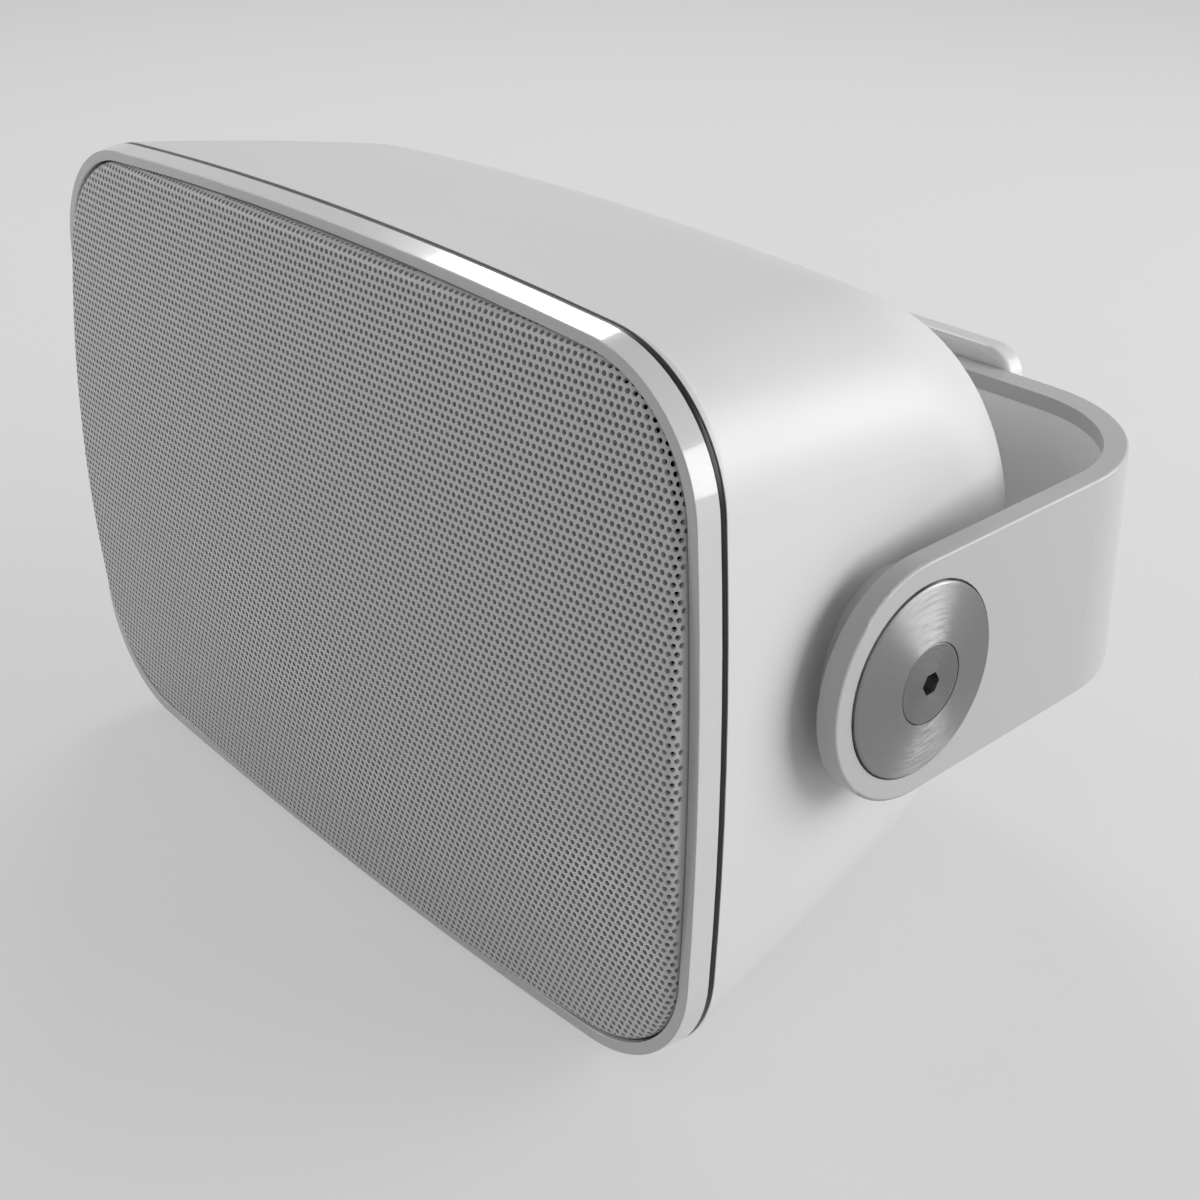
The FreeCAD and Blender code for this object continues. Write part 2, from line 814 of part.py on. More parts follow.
def pivot_disc(side):
    """Turned disc, a shallow cone that rises to a seat for the bolt's head."""
    low = recess_floor_x()
    high = low + disc_thickness
    rim = high + disc_crown
    bore = pivot_radius + pivot_running_gap
    seat = cap_radius + cap_gap
    points = [(bore, low), (disc_radius, low), (disc_radius, high - disc_bevel),
              (disc_radius - disc_bevel, high), (seat, rim), (seat, rim - cap_thickness),
              (bore, rim - cap_thickness)]
    return turned_x(points, side)


def turned_x(points, side):
    """Solid of revolution about the tilt axis; points are (radius, distance from the middle)."""
    corners = [V(side * x, radius, 0) for radius, x in points]
    face = Part.Face(Part.makePolygon(corners + [corners[0]]))
    return face.revolve(V(0, 0, 0), V(1, 0, 0), 360)


def at_axis(shape, node):
    placed = shape.copy()
    placed.translate(V(0, -axis_to_wall, 0))
    save(placed, node)


def pivot_bolt(side):
    """Bolt with a wide, flat head and a six-sided socket; its thread is left plain."""
    head_high = recess_floor_x() + disc_thickness + disc_crown
    head_low = head_high - cap_thickness
    end = boss_face_x() - pivot_thread_length
    points = [(0, end), (pivot_radius, end), (pivot_radius, head_low), (cap_radius, head_low),
              (cap_radius, head_high - cap_bevel), (cap_radius - cap_bevel, head_high), (0, head_high)]
    bolt = turned_x(points, side)
    corners = []
    for step in range(7):
        angle = math.radians(60 * step)
        corners.append(V(0, 0.5 * pivot_socket * math.cos(angle), 0.5 * pivot_socket * math.sin(angle)))
    socket = Part.Face(Part.makePolygon(corners)).extrude(V(side * (pivot_socket_depth + past), 0, 0))
    socket.translate(V(side * (head_high - pivot_socket_depth), 0, 0))
    return bolt.cut(socket)


def pivot_insert(side):
    low = boss_face_x() - pivot_thread_length - insert_floor
    points = [(pivot_radius, low), (insert_radius, low), (insert_radius, boss_face_x()),
              (pivot_radius, boss_face_x())]
    return turned_x(points, side)


def friction_washer(side):
    low = boss_face_x() + washer_gap
    high = low + washer_thickness
    bore = pivot_radius + washer_bore_gap
    points = [(bore, low), (washer_radius, low), (washer_radius, high), (bore, high)]
    return turned_x(points, side)


# Bracket

def u_outline(half_span, web_y, bend, arm_end_y, z_low, z_high):
    """Filled U in plan: from the arm ends back to the web, rounded at the bends."""
    corners = [V(-half_span, arm_end_y, z_low), V(-half_span, web_y, z_low),
               V(half_span, web_y, z_low), V(half_span, arm_end_y, z_low)]
    block = Part.Face(Part.makePolygon(corners + [corners[0]])).extrude(V(0, 0, z_high - z_low))
    edges = []
    for edge in block.Edges:
        box = edge.BoundBox
        if box.ZMax - box.ZMin > past and box.YMin > web_y - 0.01:
            edges.append(edge)
    return block.makeFillet(bend, edges)


def arm_end_mask(reach):
    """Side view of the strap: full-round ends about the tilt axis, then straight back."""
    half = 0.5 * strap_height
    round_end = disc_x(half, -reach, reach, -axis_to_wall, 0)
    straight = Part.makeBox(2 * reach, axis_to_wall, 2 * half, V(-reach, -axis_to_wall, -half))
    return round_end.fuse(straight).removeSplitter()


def strap_inner_bend():
    return strap_bend_radius - 0.5 * (strap_arm_thickness + strap_web_thickness)


def bracket_strap():
    half = 0.5 * strap_height
    web_back = -plate_thickness
    web_front = web_back - strap_web_thickness
    end_y = -axis_to_wall - half - past
    outer = u_outline(strap_half_span, web_back, strap_bend_radius, end_y, -half, half)
    inner = u_outline(strap_half_span - strap_arm_thickness, web_front, strap_inner_bend(),
                      end_y - past, -half - past, half + past)
    strap = outer.cut(inner).common(arm_end_mask(strap_half_span + far_past))
    edges = []
    for edge in strap.Edges:
        box = edge.BoundBox
        outside = max(abs(box.XMin), abs(box.XMax)) > strap_half_span - 0.01 or box.YMax > web_back - 0.01
        across = box.ZMax - box.ZMin > 2 * half - 0.1 and box.YMin > -axis_to_wall
        if outside and edge.Length > strap_web_thickness and not across:
            edges.append(edge)
    strap = strap.makeFillet(strap_edge_radius, edges)
    strap = strap.cut(cover_recess())
    floor = recess_floor_x()
    inside = strap_half_span - strap_arm_thickness - past
    for side in (-1, 1):
        low, high = sorted((side * floor, side * (strap_half_span + far_past)))
        strap = strap.cut(disc_x(disc_radius + disc_gap, low, high, -axis_to_wall, 0))
        low, high = sorted((side * inside, side * (floor + past)))
        strap = strap.cut(disc_x(pivot_radius + pivot_running_gap, low, high, -axis_to_wall, 0))
        x = 0.5 * side * web_screw_span
        start = web_front - past
        strap = strap.cut(disc_y(web_screw_radius + web_screw_gap, start, 0.0, x, 0))
        strap = strap.cut(disc_y(web_screw_head_radius + web_screw_gap, start, web_screw_seat_y(), x, 0))
    return strap


def cover_band(face_in, face_out, gap):
    """U-shaped band against the strap's inner face, between two depths into the strap."""
    inner_bend = strap_inner_bend()
    half = 0.5 * strap_height - cover_lip - gap
    web_front = -plate_thickness - strap_web_thickness
    end_y = web_front - inner_bend - cover_arm_length + gap
    bands = []
    for depth in (face_out, face_in):
        span = strap_half_span - strap_arm_thickness + depth
        bands.append(u_outline(span, web_front + depth, inner_bend + depth, end_y - past, -half, half))
    band = bands[0].cut(bands[1])
    keep = slab(end_y, 0.0, strap_half_span, half)
    return band.common(keep)


def cover_recess():
    return cover_band(-past, cover_sink + cover_thickness, 0.0)


def bracket_cover():
    return cover_band(cover_sink, cover_sink + cover_thickness, cover_gap)


def web_screw_seat_y():
    """Depth at which the web screws' heads seat, just under the inner cover."""
    cover_back = -plate_thickness - strap_web_thickness + cover_sink + cover_thickness
    return cover_back + web_screw_head_height + glue_gap


def web_screw(side):
    x = 0.5 * side * web_screw_span
    seat = web_screw_seat_y()
    shank = disc_y(web_screw_radius, seat, -web_screw_tip_gap, x, 0)
    head = disc_y(web_screw_head_radius, seat - web_screw_head_height, seat, x, 0)
    return head.fuse(shank)


def wall_plate():
    half_x = 0.5 * plate_width
    half_z = 0.5 * plate_height
    plate = Part.makeBox(plate_width, plate_thickness, plate_height, V(-half_x, -plate_thickness, -half_z))
    edges = [edge for edge in plate.Edges if edge.BoundBox.YMax - edge.BoundBox.YMin > past]
    plate = plate.makeFillet(plate_corner_radius, edges)
    edges = [edge for edge in plate.Edges if edge.BoundBox.YMax < -plate_thickness + 0.01]
    plate = plate.makeFillet(plate_edge_radius, edges)
    for side_x in (-1, 1):
        for side_z in (-1, 1):
            x = 0.5 * side_x * wall_hole_span_x
            z = 0.5 * side_z * wall_hole_span_z
            plate = plate.cut(disc_y(wall_hole_radius, -plate_thickness - past, past, x, z))
            plate = plate.cut(disc_y(wall_head_radius, -plate_thickness - past,
                                     -plate_thickness + wall_head_depth, x, z))
        x = 0.5 * side_x * web_screw_span
        plate = plate.cut(disc_y(web_screw_radius, -plate_thickness - past, past, x, 0))
    return plate


def main():
    os.makedirs("parts", exist_ok=True)
    cabinet_pieces = [
        (cabinet_shell, "cabinet_shell"),
        (front_frame, "front_frame"),
        (seam_seal, "seam_seal"),
        (baffle, "baffle"),
        (grille, "grille"),
        (scrim, "grille_scrim"),
        (woofer_frame, "woofer_frame"),
        (woofer_magnet, "woofer_magnet"),
        (woofer_cone, "woofer_cone"),
        (woofer_dust_cap, "woofer_dust_cap"),
        (woofer_surround, "woofer_surround"),
        (woofer_spider, "woofer_spider"),
        (radiator_frame, "radiator_frame"),
        (radiator_cone, "radiator_cone"),
        (radiator_surround, "radiator_surround"),
        (tweeter_plate, "tweeter_plate"),
        (tweeter_magnet, "tweeter_magnet"),
        (tweeter_dome, "tweeter_dome"),
        (tweeter_surround, "tweeter_surround"),
        (terminal_cup, "terminal_cup"),
        (crossover_board, "crossover_board"),
        (crossover_coil, "crossover_coil"),
        (crossover_capacitor, "crossover_capacitor"),
        (wadding, "wadding"),
    ]
    for make, node in cabinet_pieces:
        on_cabinet(make(), node)
    for side, name in ((-1, "left"), (1, "right")):
        on_cabinet(terminal_body(side), "terminal_body_" + name)
        on_cabinet(terminal_button(side), "terminal_button_" + name)
        on_cabinet(pivot_spacer(side), "pivot_spacer_" + name)
        at_axis(pivot_disc(side), "pivot_disc_" + name)
        at_axis(pivot_bolt(side), "pivot_bolt_" + name)
        at_axis(pivot_insert(side), "pivot_insert_" + name)
        at_axis(friction_washer(side), "friction_washer_" + name)
        save(web_screw(side), "web_screw_" + name)
    save(bracket_strap(), "bracket_strap")
    save(bracket_cover(), "bracket_cover")
    save(wall_plate(), "wall_plate")


main()
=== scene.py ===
import json
import math

import bpy
from bpy.props import FloatProperty, FloatVectorProperty, IntProperty, PointerProperty
from bpy.types import Operator, Panel, PropertyGroup
from mathutils import Matrix, Vector
from mathutils.geometry import convex_hull_2d, delaunay_2d_cdt


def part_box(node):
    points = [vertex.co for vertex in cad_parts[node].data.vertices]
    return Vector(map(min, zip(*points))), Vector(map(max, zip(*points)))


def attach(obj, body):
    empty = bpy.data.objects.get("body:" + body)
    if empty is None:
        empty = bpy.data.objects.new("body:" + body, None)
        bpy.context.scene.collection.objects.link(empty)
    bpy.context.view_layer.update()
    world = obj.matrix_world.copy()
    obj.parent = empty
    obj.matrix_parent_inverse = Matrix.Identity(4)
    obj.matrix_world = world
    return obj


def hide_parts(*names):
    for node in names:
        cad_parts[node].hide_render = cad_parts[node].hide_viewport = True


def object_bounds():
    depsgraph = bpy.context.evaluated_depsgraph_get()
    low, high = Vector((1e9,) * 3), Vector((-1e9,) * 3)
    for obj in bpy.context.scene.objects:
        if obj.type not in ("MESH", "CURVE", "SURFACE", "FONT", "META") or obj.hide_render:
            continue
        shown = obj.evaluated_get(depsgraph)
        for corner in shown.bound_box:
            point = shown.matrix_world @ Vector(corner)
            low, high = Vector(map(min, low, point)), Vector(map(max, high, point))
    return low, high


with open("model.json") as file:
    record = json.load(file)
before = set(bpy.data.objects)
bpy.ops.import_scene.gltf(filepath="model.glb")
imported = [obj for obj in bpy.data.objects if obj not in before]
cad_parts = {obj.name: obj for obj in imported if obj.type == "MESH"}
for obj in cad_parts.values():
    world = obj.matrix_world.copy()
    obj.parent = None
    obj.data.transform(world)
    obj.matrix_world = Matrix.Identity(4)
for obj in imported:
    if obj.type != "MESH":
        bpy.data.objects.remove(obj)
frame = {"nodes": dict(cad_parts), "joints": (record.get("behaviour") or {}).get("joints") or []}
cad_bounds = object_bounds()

bl_info = {
    "name": "Outdoor wall speaker",
    "version": (1, 0, 0),
    "blender": (4, 5, 0),
    "location": "View3D > Sidebar > Speaker",
    "description": "Fine perforated grille, finishes and a plain studio for the packed speaker",
    "category": "Object",
}

TILT_AXIS = Vector(next(joint["pos_m"] for joint in frame["joints"] if joint["name"] == "cabinet_tilt"))
GRILLE_LOW, GRILLE_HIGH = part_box("grille")
RIM_LOW, RIM_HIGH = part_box("front_frame")
SHELL_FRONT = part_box("cabinet_shell")[0].y
PLAIN_BACK_EDGE = 0.0002
FACE_TOLERANCE = 1e-5
POINT_TOLERANCE = 1e-7
KEYS_PER_METRE = 1e7
CORNER_ROUNDS = 20
RING_CLEARANCE = 0.6
SHEET_FOLD = math.radians(40.0)
LIP_FOLD = math.radians(50.0)
LIP_CROWN_SHARE = 0.3
WAVE_RADIAN = 0.05

# Name, place, width, height and power of each soft lamp, which is turned to the object's middle.
LAMPS = (
    ("right_box", (0.98, 0.76, 0.35), 1.3, 0.7, 15.0),
    ("left_box", (-0.843, 0.582, 1.04), 0.54, 0.46, 5.1),
    ("front_box", (-0.85, -0.95, 0.45), 0.8, 0.8, 3.2),
)

BRASS = (0.78, 0.58, 0.28)
MAGNET_IRON = (0.12, 0.12, 0.12)
WASHER_NYLON = (0.06, 0.06, 0.06)
CONE_POLYMER = (0.035, 0.035, 0.037)
ROLL_RUBBER = (0.03, 0.03, 0.03)
SPIDER_CLOTH = (0.60, 0.47, 0.22)
DOME_ALUMINIUM = (0.75, 0.75, 0.75)
BUTTON_BLACK = (0.02, 0.02, 0.02)
BUTTON_RED = (0.45, 0.012, 0.010)
BOARD_LAMINATE = (0.03, 0.16, 0.06)
COIL_COPPER = (0.72, 0.36, 0.16)
CAPACITOR_FILM = (0.62, 0.45, 0.06)
WADDING_FIBRE = (0.72, 0.72, 0.70)


# Settings

def length(name, description, default):
    return FloatProperty(name=name, description=description, default=default,
                         subtype="DISTANCE", unit="LENGTH")


def colour(name, description, default):
    return FloatVectorProperty(name=name, description=description, default=default,
                               subtype="COLOR", size=3, min=0.0, max=1.0)


def amount(name, description, default):
    return FloatProperty(name=name, description=description, default=default, subtype="FACTOR",
                         min=0.0, max=1.0)


class GrilleSettings(PropertyGroup):
    """Sizes of the perforated sheet."""

    pitch_across: length("Pitch across", "Distance between holes in a row", 0.00197)
    pitch_up: length("Pitch up", "Distance between rows, which are shifted by half a pitch", 0.00196)
    hole_radius: length("Hole radius", "Radius of one punched hole", 0.00066)
    sheet: length("Sheet", "Thickness of the sheet", 0.0012)
    edge_radius: length("Edge radius", "Radius of the rolled edge", 0.0026)
    skirt: length("Skirt", "Length of the perforated part of the skirt, behind the rolled edge", 0.0026)
    plain_edge: length("Plain edge", "Least distance on the blank from a hole's middle to the outline",
                       -0.0016)
    rise_across: length("Rise across", "How far the dome falls back at the sides", 0.0051)
    rise_up: length("Rise up", "How far the dome falls back at the top", 0.0072)
    corner_radius: length("Corner radius", "Radius of the outline's corners", 0.0321)
    side_radius: length("Side radius", "Radius of the long curve of the outline's sides", 0.908)
    top_radius: length("Top radius", "Radius of the long curve of the outline's top", 1.508)
    step: length("Step", "Length of the edges that the rolled edge is made of", 0.001)
    rings: IntProperty(name="Rings", description="Number of steps round the rolled edge", default=10, min=2)
    strips: IntProperty(name="Strips", description="Number of upright strips that the sheet is made in",
                        default=4, min=1)


class LipSettings(PropertyGroup):
    """Section of the rubber lip in the seam, measured inwards from the front frame's outline."""

    front_inset: length("Front inset", "At the front frame", 0.0003)
    crown_inset: length("Crown inset", "In the middle of the seam", 0.00018)
    back_inset: length("Back inset", "At the housing", 0.0004)
    thickness: length("Thickness", "To the lip's inner side", 0.0016)


class FinishSettings(PropertyGroup):
    """Colours and roughness of what shows."""

    cabinet: colour("Cabinet", "Moulded housing", (0.70, 0.70, 0.70))
    trim: colour("Front frame", "Glossy band and rim", (0.72, 0.72, 0.72))
    grille: colour("Grille", "Painted sheet", (0.62, 0.62, 0.62))
    scrim: colour("Scrim", "Cloth behind the perforation", (0.060, 0.060, 0.060))
    bracket: colour("Bracket", "Painted strap", (0.50, 0.50, 0.50))
    plate: colour("Wall plate", "Painted plate at the wall", (0.70, 0.70, 0.70))
    # Painted light: the cover is set lighter than the housing's white to make up for the shade inside the
    # strap.
    cover: colour("Bracket cover", "Plastic cover inside the strap", (0.88, 0.88, 0.88))
    disc: colour("Disc", "Turned aluminium", (0.31, 0.31, 0.315))
    bolt: colour("Bolt", "Head in the middle of the disc", (0.20, 0.20, 0.205))
    rubber: colour("Seal", "Rubber in the seam", (0.009, 0.009, 0.009))
    dark_plastic: colour("Dark plastic", "Baskets, baffle and terminals", (0.025, 0.025, 0.027))
    cabinet_roughness: amount("Cabinet roughness", "Satin moulding", 0.40)
    trim_roughness: amount("Trim roughness", "Glossy band", 0.20)
    bracket_roughness: amount("Bracket roughness", "Satin powder coat", 0.30)


class StageSettings(PropertyGroup):
    """Camera, lights and floor."""

    camera_place: FloatVectorProperty(name="Camera place", description="Where the camera stands",
                                      default=(0.3697, -0.4223, 0.2228), subtype="TRANSLATION",
                                      unit="LENGTH")
    azimuth: FloatProperty(name="Azimuth", description="Turn of the view about the upright axis",
                           default=math.radians(47.10), subtype="ANGLE", unit="ROTATION")
    elevation: FloatProperty(name="Elevation", description="How steeply the view looks down",
                             default=math.radians(21.68), subtype="ANGLE", unit="ROTATION")
    roll: FloatProperty(name="Roll", description="Turn of the picture", default=math.radians(0.32),
                        subtype="ANGLE", unit="ROTATION")
    focal_length: FloatProperty(name="Focal length", description="In millimetres on a 36 mm sensor",
                                default=55.69)
    shift_across: FloatProperty(name="Shift across", description="Sideways framing", default=-0.0217)
    shift_up: FloatProperty(name="Shift up", description="Upward framing", default=-0.1825)
    floor: colour("Floor", "Pale floor", (0.70, 0.70, 0.70))
    paper: colour("Paper", "Even shade that the floor is seen with", (0.86, 0.86, 0.86))
    pale_share: amount("Pale share", "Share of the even shade in how the floor is seen", 0.45)
    backdrop: colour("Backdrop", "Pale space round the object, as seen and reflected", (0.72, 0.72, 0.73))
    ambient: amount("Ambient", "Light from all round", 0.30)
    drop: length("Drop", "How far the floor lies below the object", 0.0005)
    reach: length("Reach", "Half the floor's width", 6.0)


# Shader node helpers

def add(tree, kind, values=None, **options):
    """Adds a shader node, sets its options and its sockets, and links the sockets given as outputs."""
    made = tree.nodes.new("ShaderNode" + kind)
    for name, value in options.items():
        setattr(made, name, value)
    for name, value in (values or {}).items():
        socket = made.inputs[name]
        if isinstance(value, bpy.types.NodeSocket):
            tree.links.new(value, socket)
        else:
            socket.default_value = value
    return made


def start_material(name, colour_value, roughness, metallic=0.0, specular=0.5):
    """A new Principled material with its tree and shader."""
    material = bpy.data.materials.new(name)
    material.use_nodes = True
    tree = material.node_tree
    shader = tree.nodes["Principled BSDF"]
    shader.inputs["Base Color"].default_value = (*colour_value, 1.0)
    shader.inputs["Roughness"].default_value = roughness
    shader.inputs["Metallic"].default_value = metallic
    shader.inputs["Specular IOR Level"].default_value = specular
    return material, tree, shader


def place_of(tree):
    """The point on the object, in metres."""
    return add(tree, "TexCoord").outputs["Object"]


def noise(tree, size, detail=2.0):
    """Noise whose features are about size metres across."""
    where = place_of(tree)
    return add(tree, "TexNoise", {"Vector": where, "Scale": 1.0 / size, "Detail": detail}).outputs["Fac"]


def spread(tree, factor, low, high):
    """Noise stretched to run from low to high."""
    return add(tree, "MapRange", {"Value": factor, "From Min": 0.3, "From Max": 0.7,
                                  "To Min": low, "To Max": high}).outputs["Result"]


def tint(tree, shader, colour_value, share, factor):
    """Base colour that runs a share darker and lighter with a factor."""
    dark = tuple(channel * (1.0 - share) for channel in colour_value) + (1.0,)
    light = tuple(min(channel * (1.0 + share), 1.0) for channel in colour_value) + (1.0,)
    mix = add(tree, "Mix", data_type="RGBA")
    tree.links.new(factor, mix.inputs["Factor"])
    mix.inputs["A"].default_value = dark
    mix.inputs["B"].default_value = light
    tree.links.new(mix.outputs["Result"], shader.inputs["Base Color"])


def vary_roughness(tree, shader, factor, roughness, share):
    """Roughness that runs a share below and above its middle value with a factor."""
    tree.links.new(spread(tree, factor, low=roughness - share, high=roughness + share),
                   shader.inputs["Roughness"])


def relief(tree, shader, height, depth, strength=1.0):
    """Bump of a real depth in metres."""
    bump = add(tree, "Bump", {"Height": height, "Distance": depth, "Strength": strength})
    tree.links.new(bump.outputs["Normal"], shader.inputs["Normal"])


def strokes_about_tilt_axis(tree, width, turn):
    """Noise in short arcs about the tilt axis, width metres apart and a turn in radians long."""
    split = add(tree, "SeparateXYZ", {"Vector": place_of(tree)})
    across = add(tree, "Math", {0: split.outputs["Y"], 1: TILT_AXIS.y}, operation="SUBTRACT")
    up = add(tree, "Math", {0: split.outputs["Z"], 1: TILT_AXIS.z}, operation="SUBTRACT")
    flat = add(tree, "CombineXYZ", {"X": across.outputs["Value"],
                                    "Y": up.outputs["Value"]}).outputs["Vector"]
    radius = add(tree, "VectorMath", {0: flat}, operation="LENGTH").outputs["Value"]
    rings = add(tree, "Math", {0: radius, 1: 1.0 / width}, operation="MULTIPLY").outputs["Value"]
    direction = add(tree, "VectorMath", {0: flat}, operation="NORMALIZE").outputs["Vector"]
    along = add(tree, "VectorMath", {0: direction, "Scale": 1.0 / turn}, operation="SCALE")
    apart = add(tree, "CombineXYZ", {"Z": rings}).outputs["Vector"]
    where = add(tree, "VectorMath", {0: along.outputs["Vector"], 1: apart}, operation="ADD")
    return add(tree, "TexNoise", {"Vector": where.outputs["Vector"], "Scale": 1.0,
                                  "Detail": 3.0}).outputs["Fac"]


def dress(material, *names):
    """Puts a material on CAD nodes."""
    for name in names:
        part = frame["nodes"][name]
        part.data.materials.clear()
        part.data.materials.append(material)


# Finishes

def moulded_plastic(name, colour_value, roughness, grain=0.00035):
    """Satin moulded plastic: fine spark-eroded grain, and faint broad unevenness of shade and gloss."""
    material, tree, shader = start_material(name, colour_value, roughness)
    broad = noise(tree, size=0.035, detail=3.0)
    tint(tree, shader, colour_value, share=0.012, factor=broad)
    vary_roughness(tree, shader, broad, roughness, share=0.02)
    relief(tree, shader, noise(tree, size=grain), depth=0.000006, strength=0.6)
    return material


def glossy_trim(name, colour_value, roughness, front_shade_level=1.0):
    """Glossy lacquered moulding with the slight waviness of lacquer, and painted shade that greys the faces
    turned to the front.
    """
    material, tree, shader = start_material(name, colour_value, roughness)
    # Painted shade: faces turned to the front get a darker base colour in place of the shade that falls on
    # them. The small patches are random tone.
    turned = add(tree, "SeparateXYZ", {"Vector": add(tree, "NewGeometry").outputs["Normal"]}).outputs["Y"]
    painted_front_shade = add(tree, "MapRange", {"Value": turned, "From Min": -0.6, "From Max": -0.9,
                                      "To Min": 1.0, "To Max": front_shade_level}).outputs["Result"]
    patches = spread(tree, noise(tree, size=0.02), low=0.99, high=1.01)
    shade = add(tree, "Math", {0: painted_front_shade, 1: patches}, operation="MULTIPLY")
    toned = add(tree, "VectorMath", {0: colour_value, "Scale": shade.outputs["Value"]}, operation="SCALE")
    tree.links.new(toned.outputs["Vector"], shader.inputs["Base Color"])
    vary_roughness(tree, shader, noise(tree, size=0.004, detail=4.0), roughness, share=0.03)
    relief(tree, shader, noise(tree, size=0.0012, detail=1.0), depth=0.000002, strength=0.5)
    shader.inputs["Coat Weight"].default_value = 0.8
    shader.inputs["Coat Roughness"].default_value = 0.05
    return material


def powder_coat(name, colour_value, roughness, orange_peel=0.0018):
    """Satin powder coat on metal, with a fine orange peel."""
    material, tree, shader = start_material(name, colour_value, roughness)
    tint(tree, shader, colour_value, share=0.012, factor=noise(tree, size=0.02, detail=3.0))
    vary_roughness(tree, shader, noise(tree, size=0.01), roughness, share=0.02)
    relief(tree, shader, noise(tree, size=orange_peel, detail=1.0), depth=0.000008, strength=0.5)
    return material


def turned_metal(name, colour_value, roughness, ring_width, anisotropy):
    """Metal brushed while it turns: short strokes about the tilt axis in shade, gloss and relief."""
    material, tree, shader = start_material(name, colour_value, roughness, metallic=1.0)
    strokes = strokes_about_tilt_axis(tree, width=ring_width, turn=0.3)
    tint(tree, shader, colour_value, share=0.17, factor=strokes)
    vary_roughness(tree, shader, strokes, roughness, share=0.10)
    relief(tree, shader, strokes, depth=0.00001, strength=0.5)
    shader.inputs["Anisotropic"].default_value = anisotropy
    shader.inputs["Anisotropic Rotation"].default_value = 0.25
    tangent = add(tree, "Tangent", direction_type="RADIAL", axis="X")
    tree.links.new(tangent.outputs["Tangent"], shader.inputs["Tangent"])
    return material


def plain_metal(name, colour_value, roughness, grain):
    """Metal with a fine grain, for the pieces inside."""
    material, tree, shader = start_material(name, colour_value, roughness, metallic=1.0)
    texture = noise(tree, size=grain, detail=4.0)
    tint(tree, shader, colour_value, share=0.08, factor=texture)
    relief(tree, shader, texture, depth=0.00001, strength=0.5)
    return material


def rubber(name, colour_value, roughness):
    """Dark rubber with a faint bloom."""
    material, tree, shader = start_material(name, colour_value, roughness, specular=0.22)
    tint(tree, shader, colour_value, share=0.25, factor=noise(tree, size=0.006, detail=4.0))
    relief(tree, shader, noise(tree, size=0.0005), depth=0.00001, strength=0.5)
    return material


def woven_cloth(name, colour_value, thread):
    """Plain weave in the plane of the face, with its bands 2 pi threads apart across and up."""
    material, tree, shader = start_material(name, colour_value, roughness=0.9, specular=0.2)
    where = place_of(tree)
    scale = WAVE_RADIAN / thread
    across = add(tree, "TexWave", {"Vector": where, "Scale": scale}, bands_direction="X")
    up = add(tree, "TexWave", {"Vector": where, "Scale": scale}, bands_direction="Z")
    weave = add(tree, "Math", {0: across.outputs["Fac"], 1: up.outputs["Fac"]}, operation="MULTIPLY")
    tint(tree, shader, colour_value, share=0.35, factor=weave.outputs["Value"])
    relief(tree, shader, weave.outputs["Value"], depth=0.2 * thread)
    return material


def wound_wire(name, colour_value, wire):
    """Windings of a coil that runs along the depth, 2 pi wires apart."""
    material, tree, shader = start_material(name, colour_value, roughness=0.3, metallic=0.8)
    scale = WAVE_RADIAN / wire
    turns = add(tree, "TexWave", {"Vector": place_of(tree), "Scale": scale}, bands_direction="Y")
    tint(tree, shader, colour_value, share=0.2, factor=turns.outputs["Fac"])
    relief(tree, shader, turns.outputs["Fac"], depth=0.3 * wire)
    return material


def loose_fibre(name, colour_value):
    """Damping fibre."""
    material, tree, shader = start_material(name, colour_value, roughness=1.0, specular=0.1)
    fibre = noise(tree, size=0.0015, detail=8.0)
    tint(tree, shader, colour_value, share=0.15, factor=fibre)
    relief(tree, shader, fibre, depth=0.0008)
    shader.inputs["Sheen Weight"].default_value = 0.3
    return material


# The grille's form

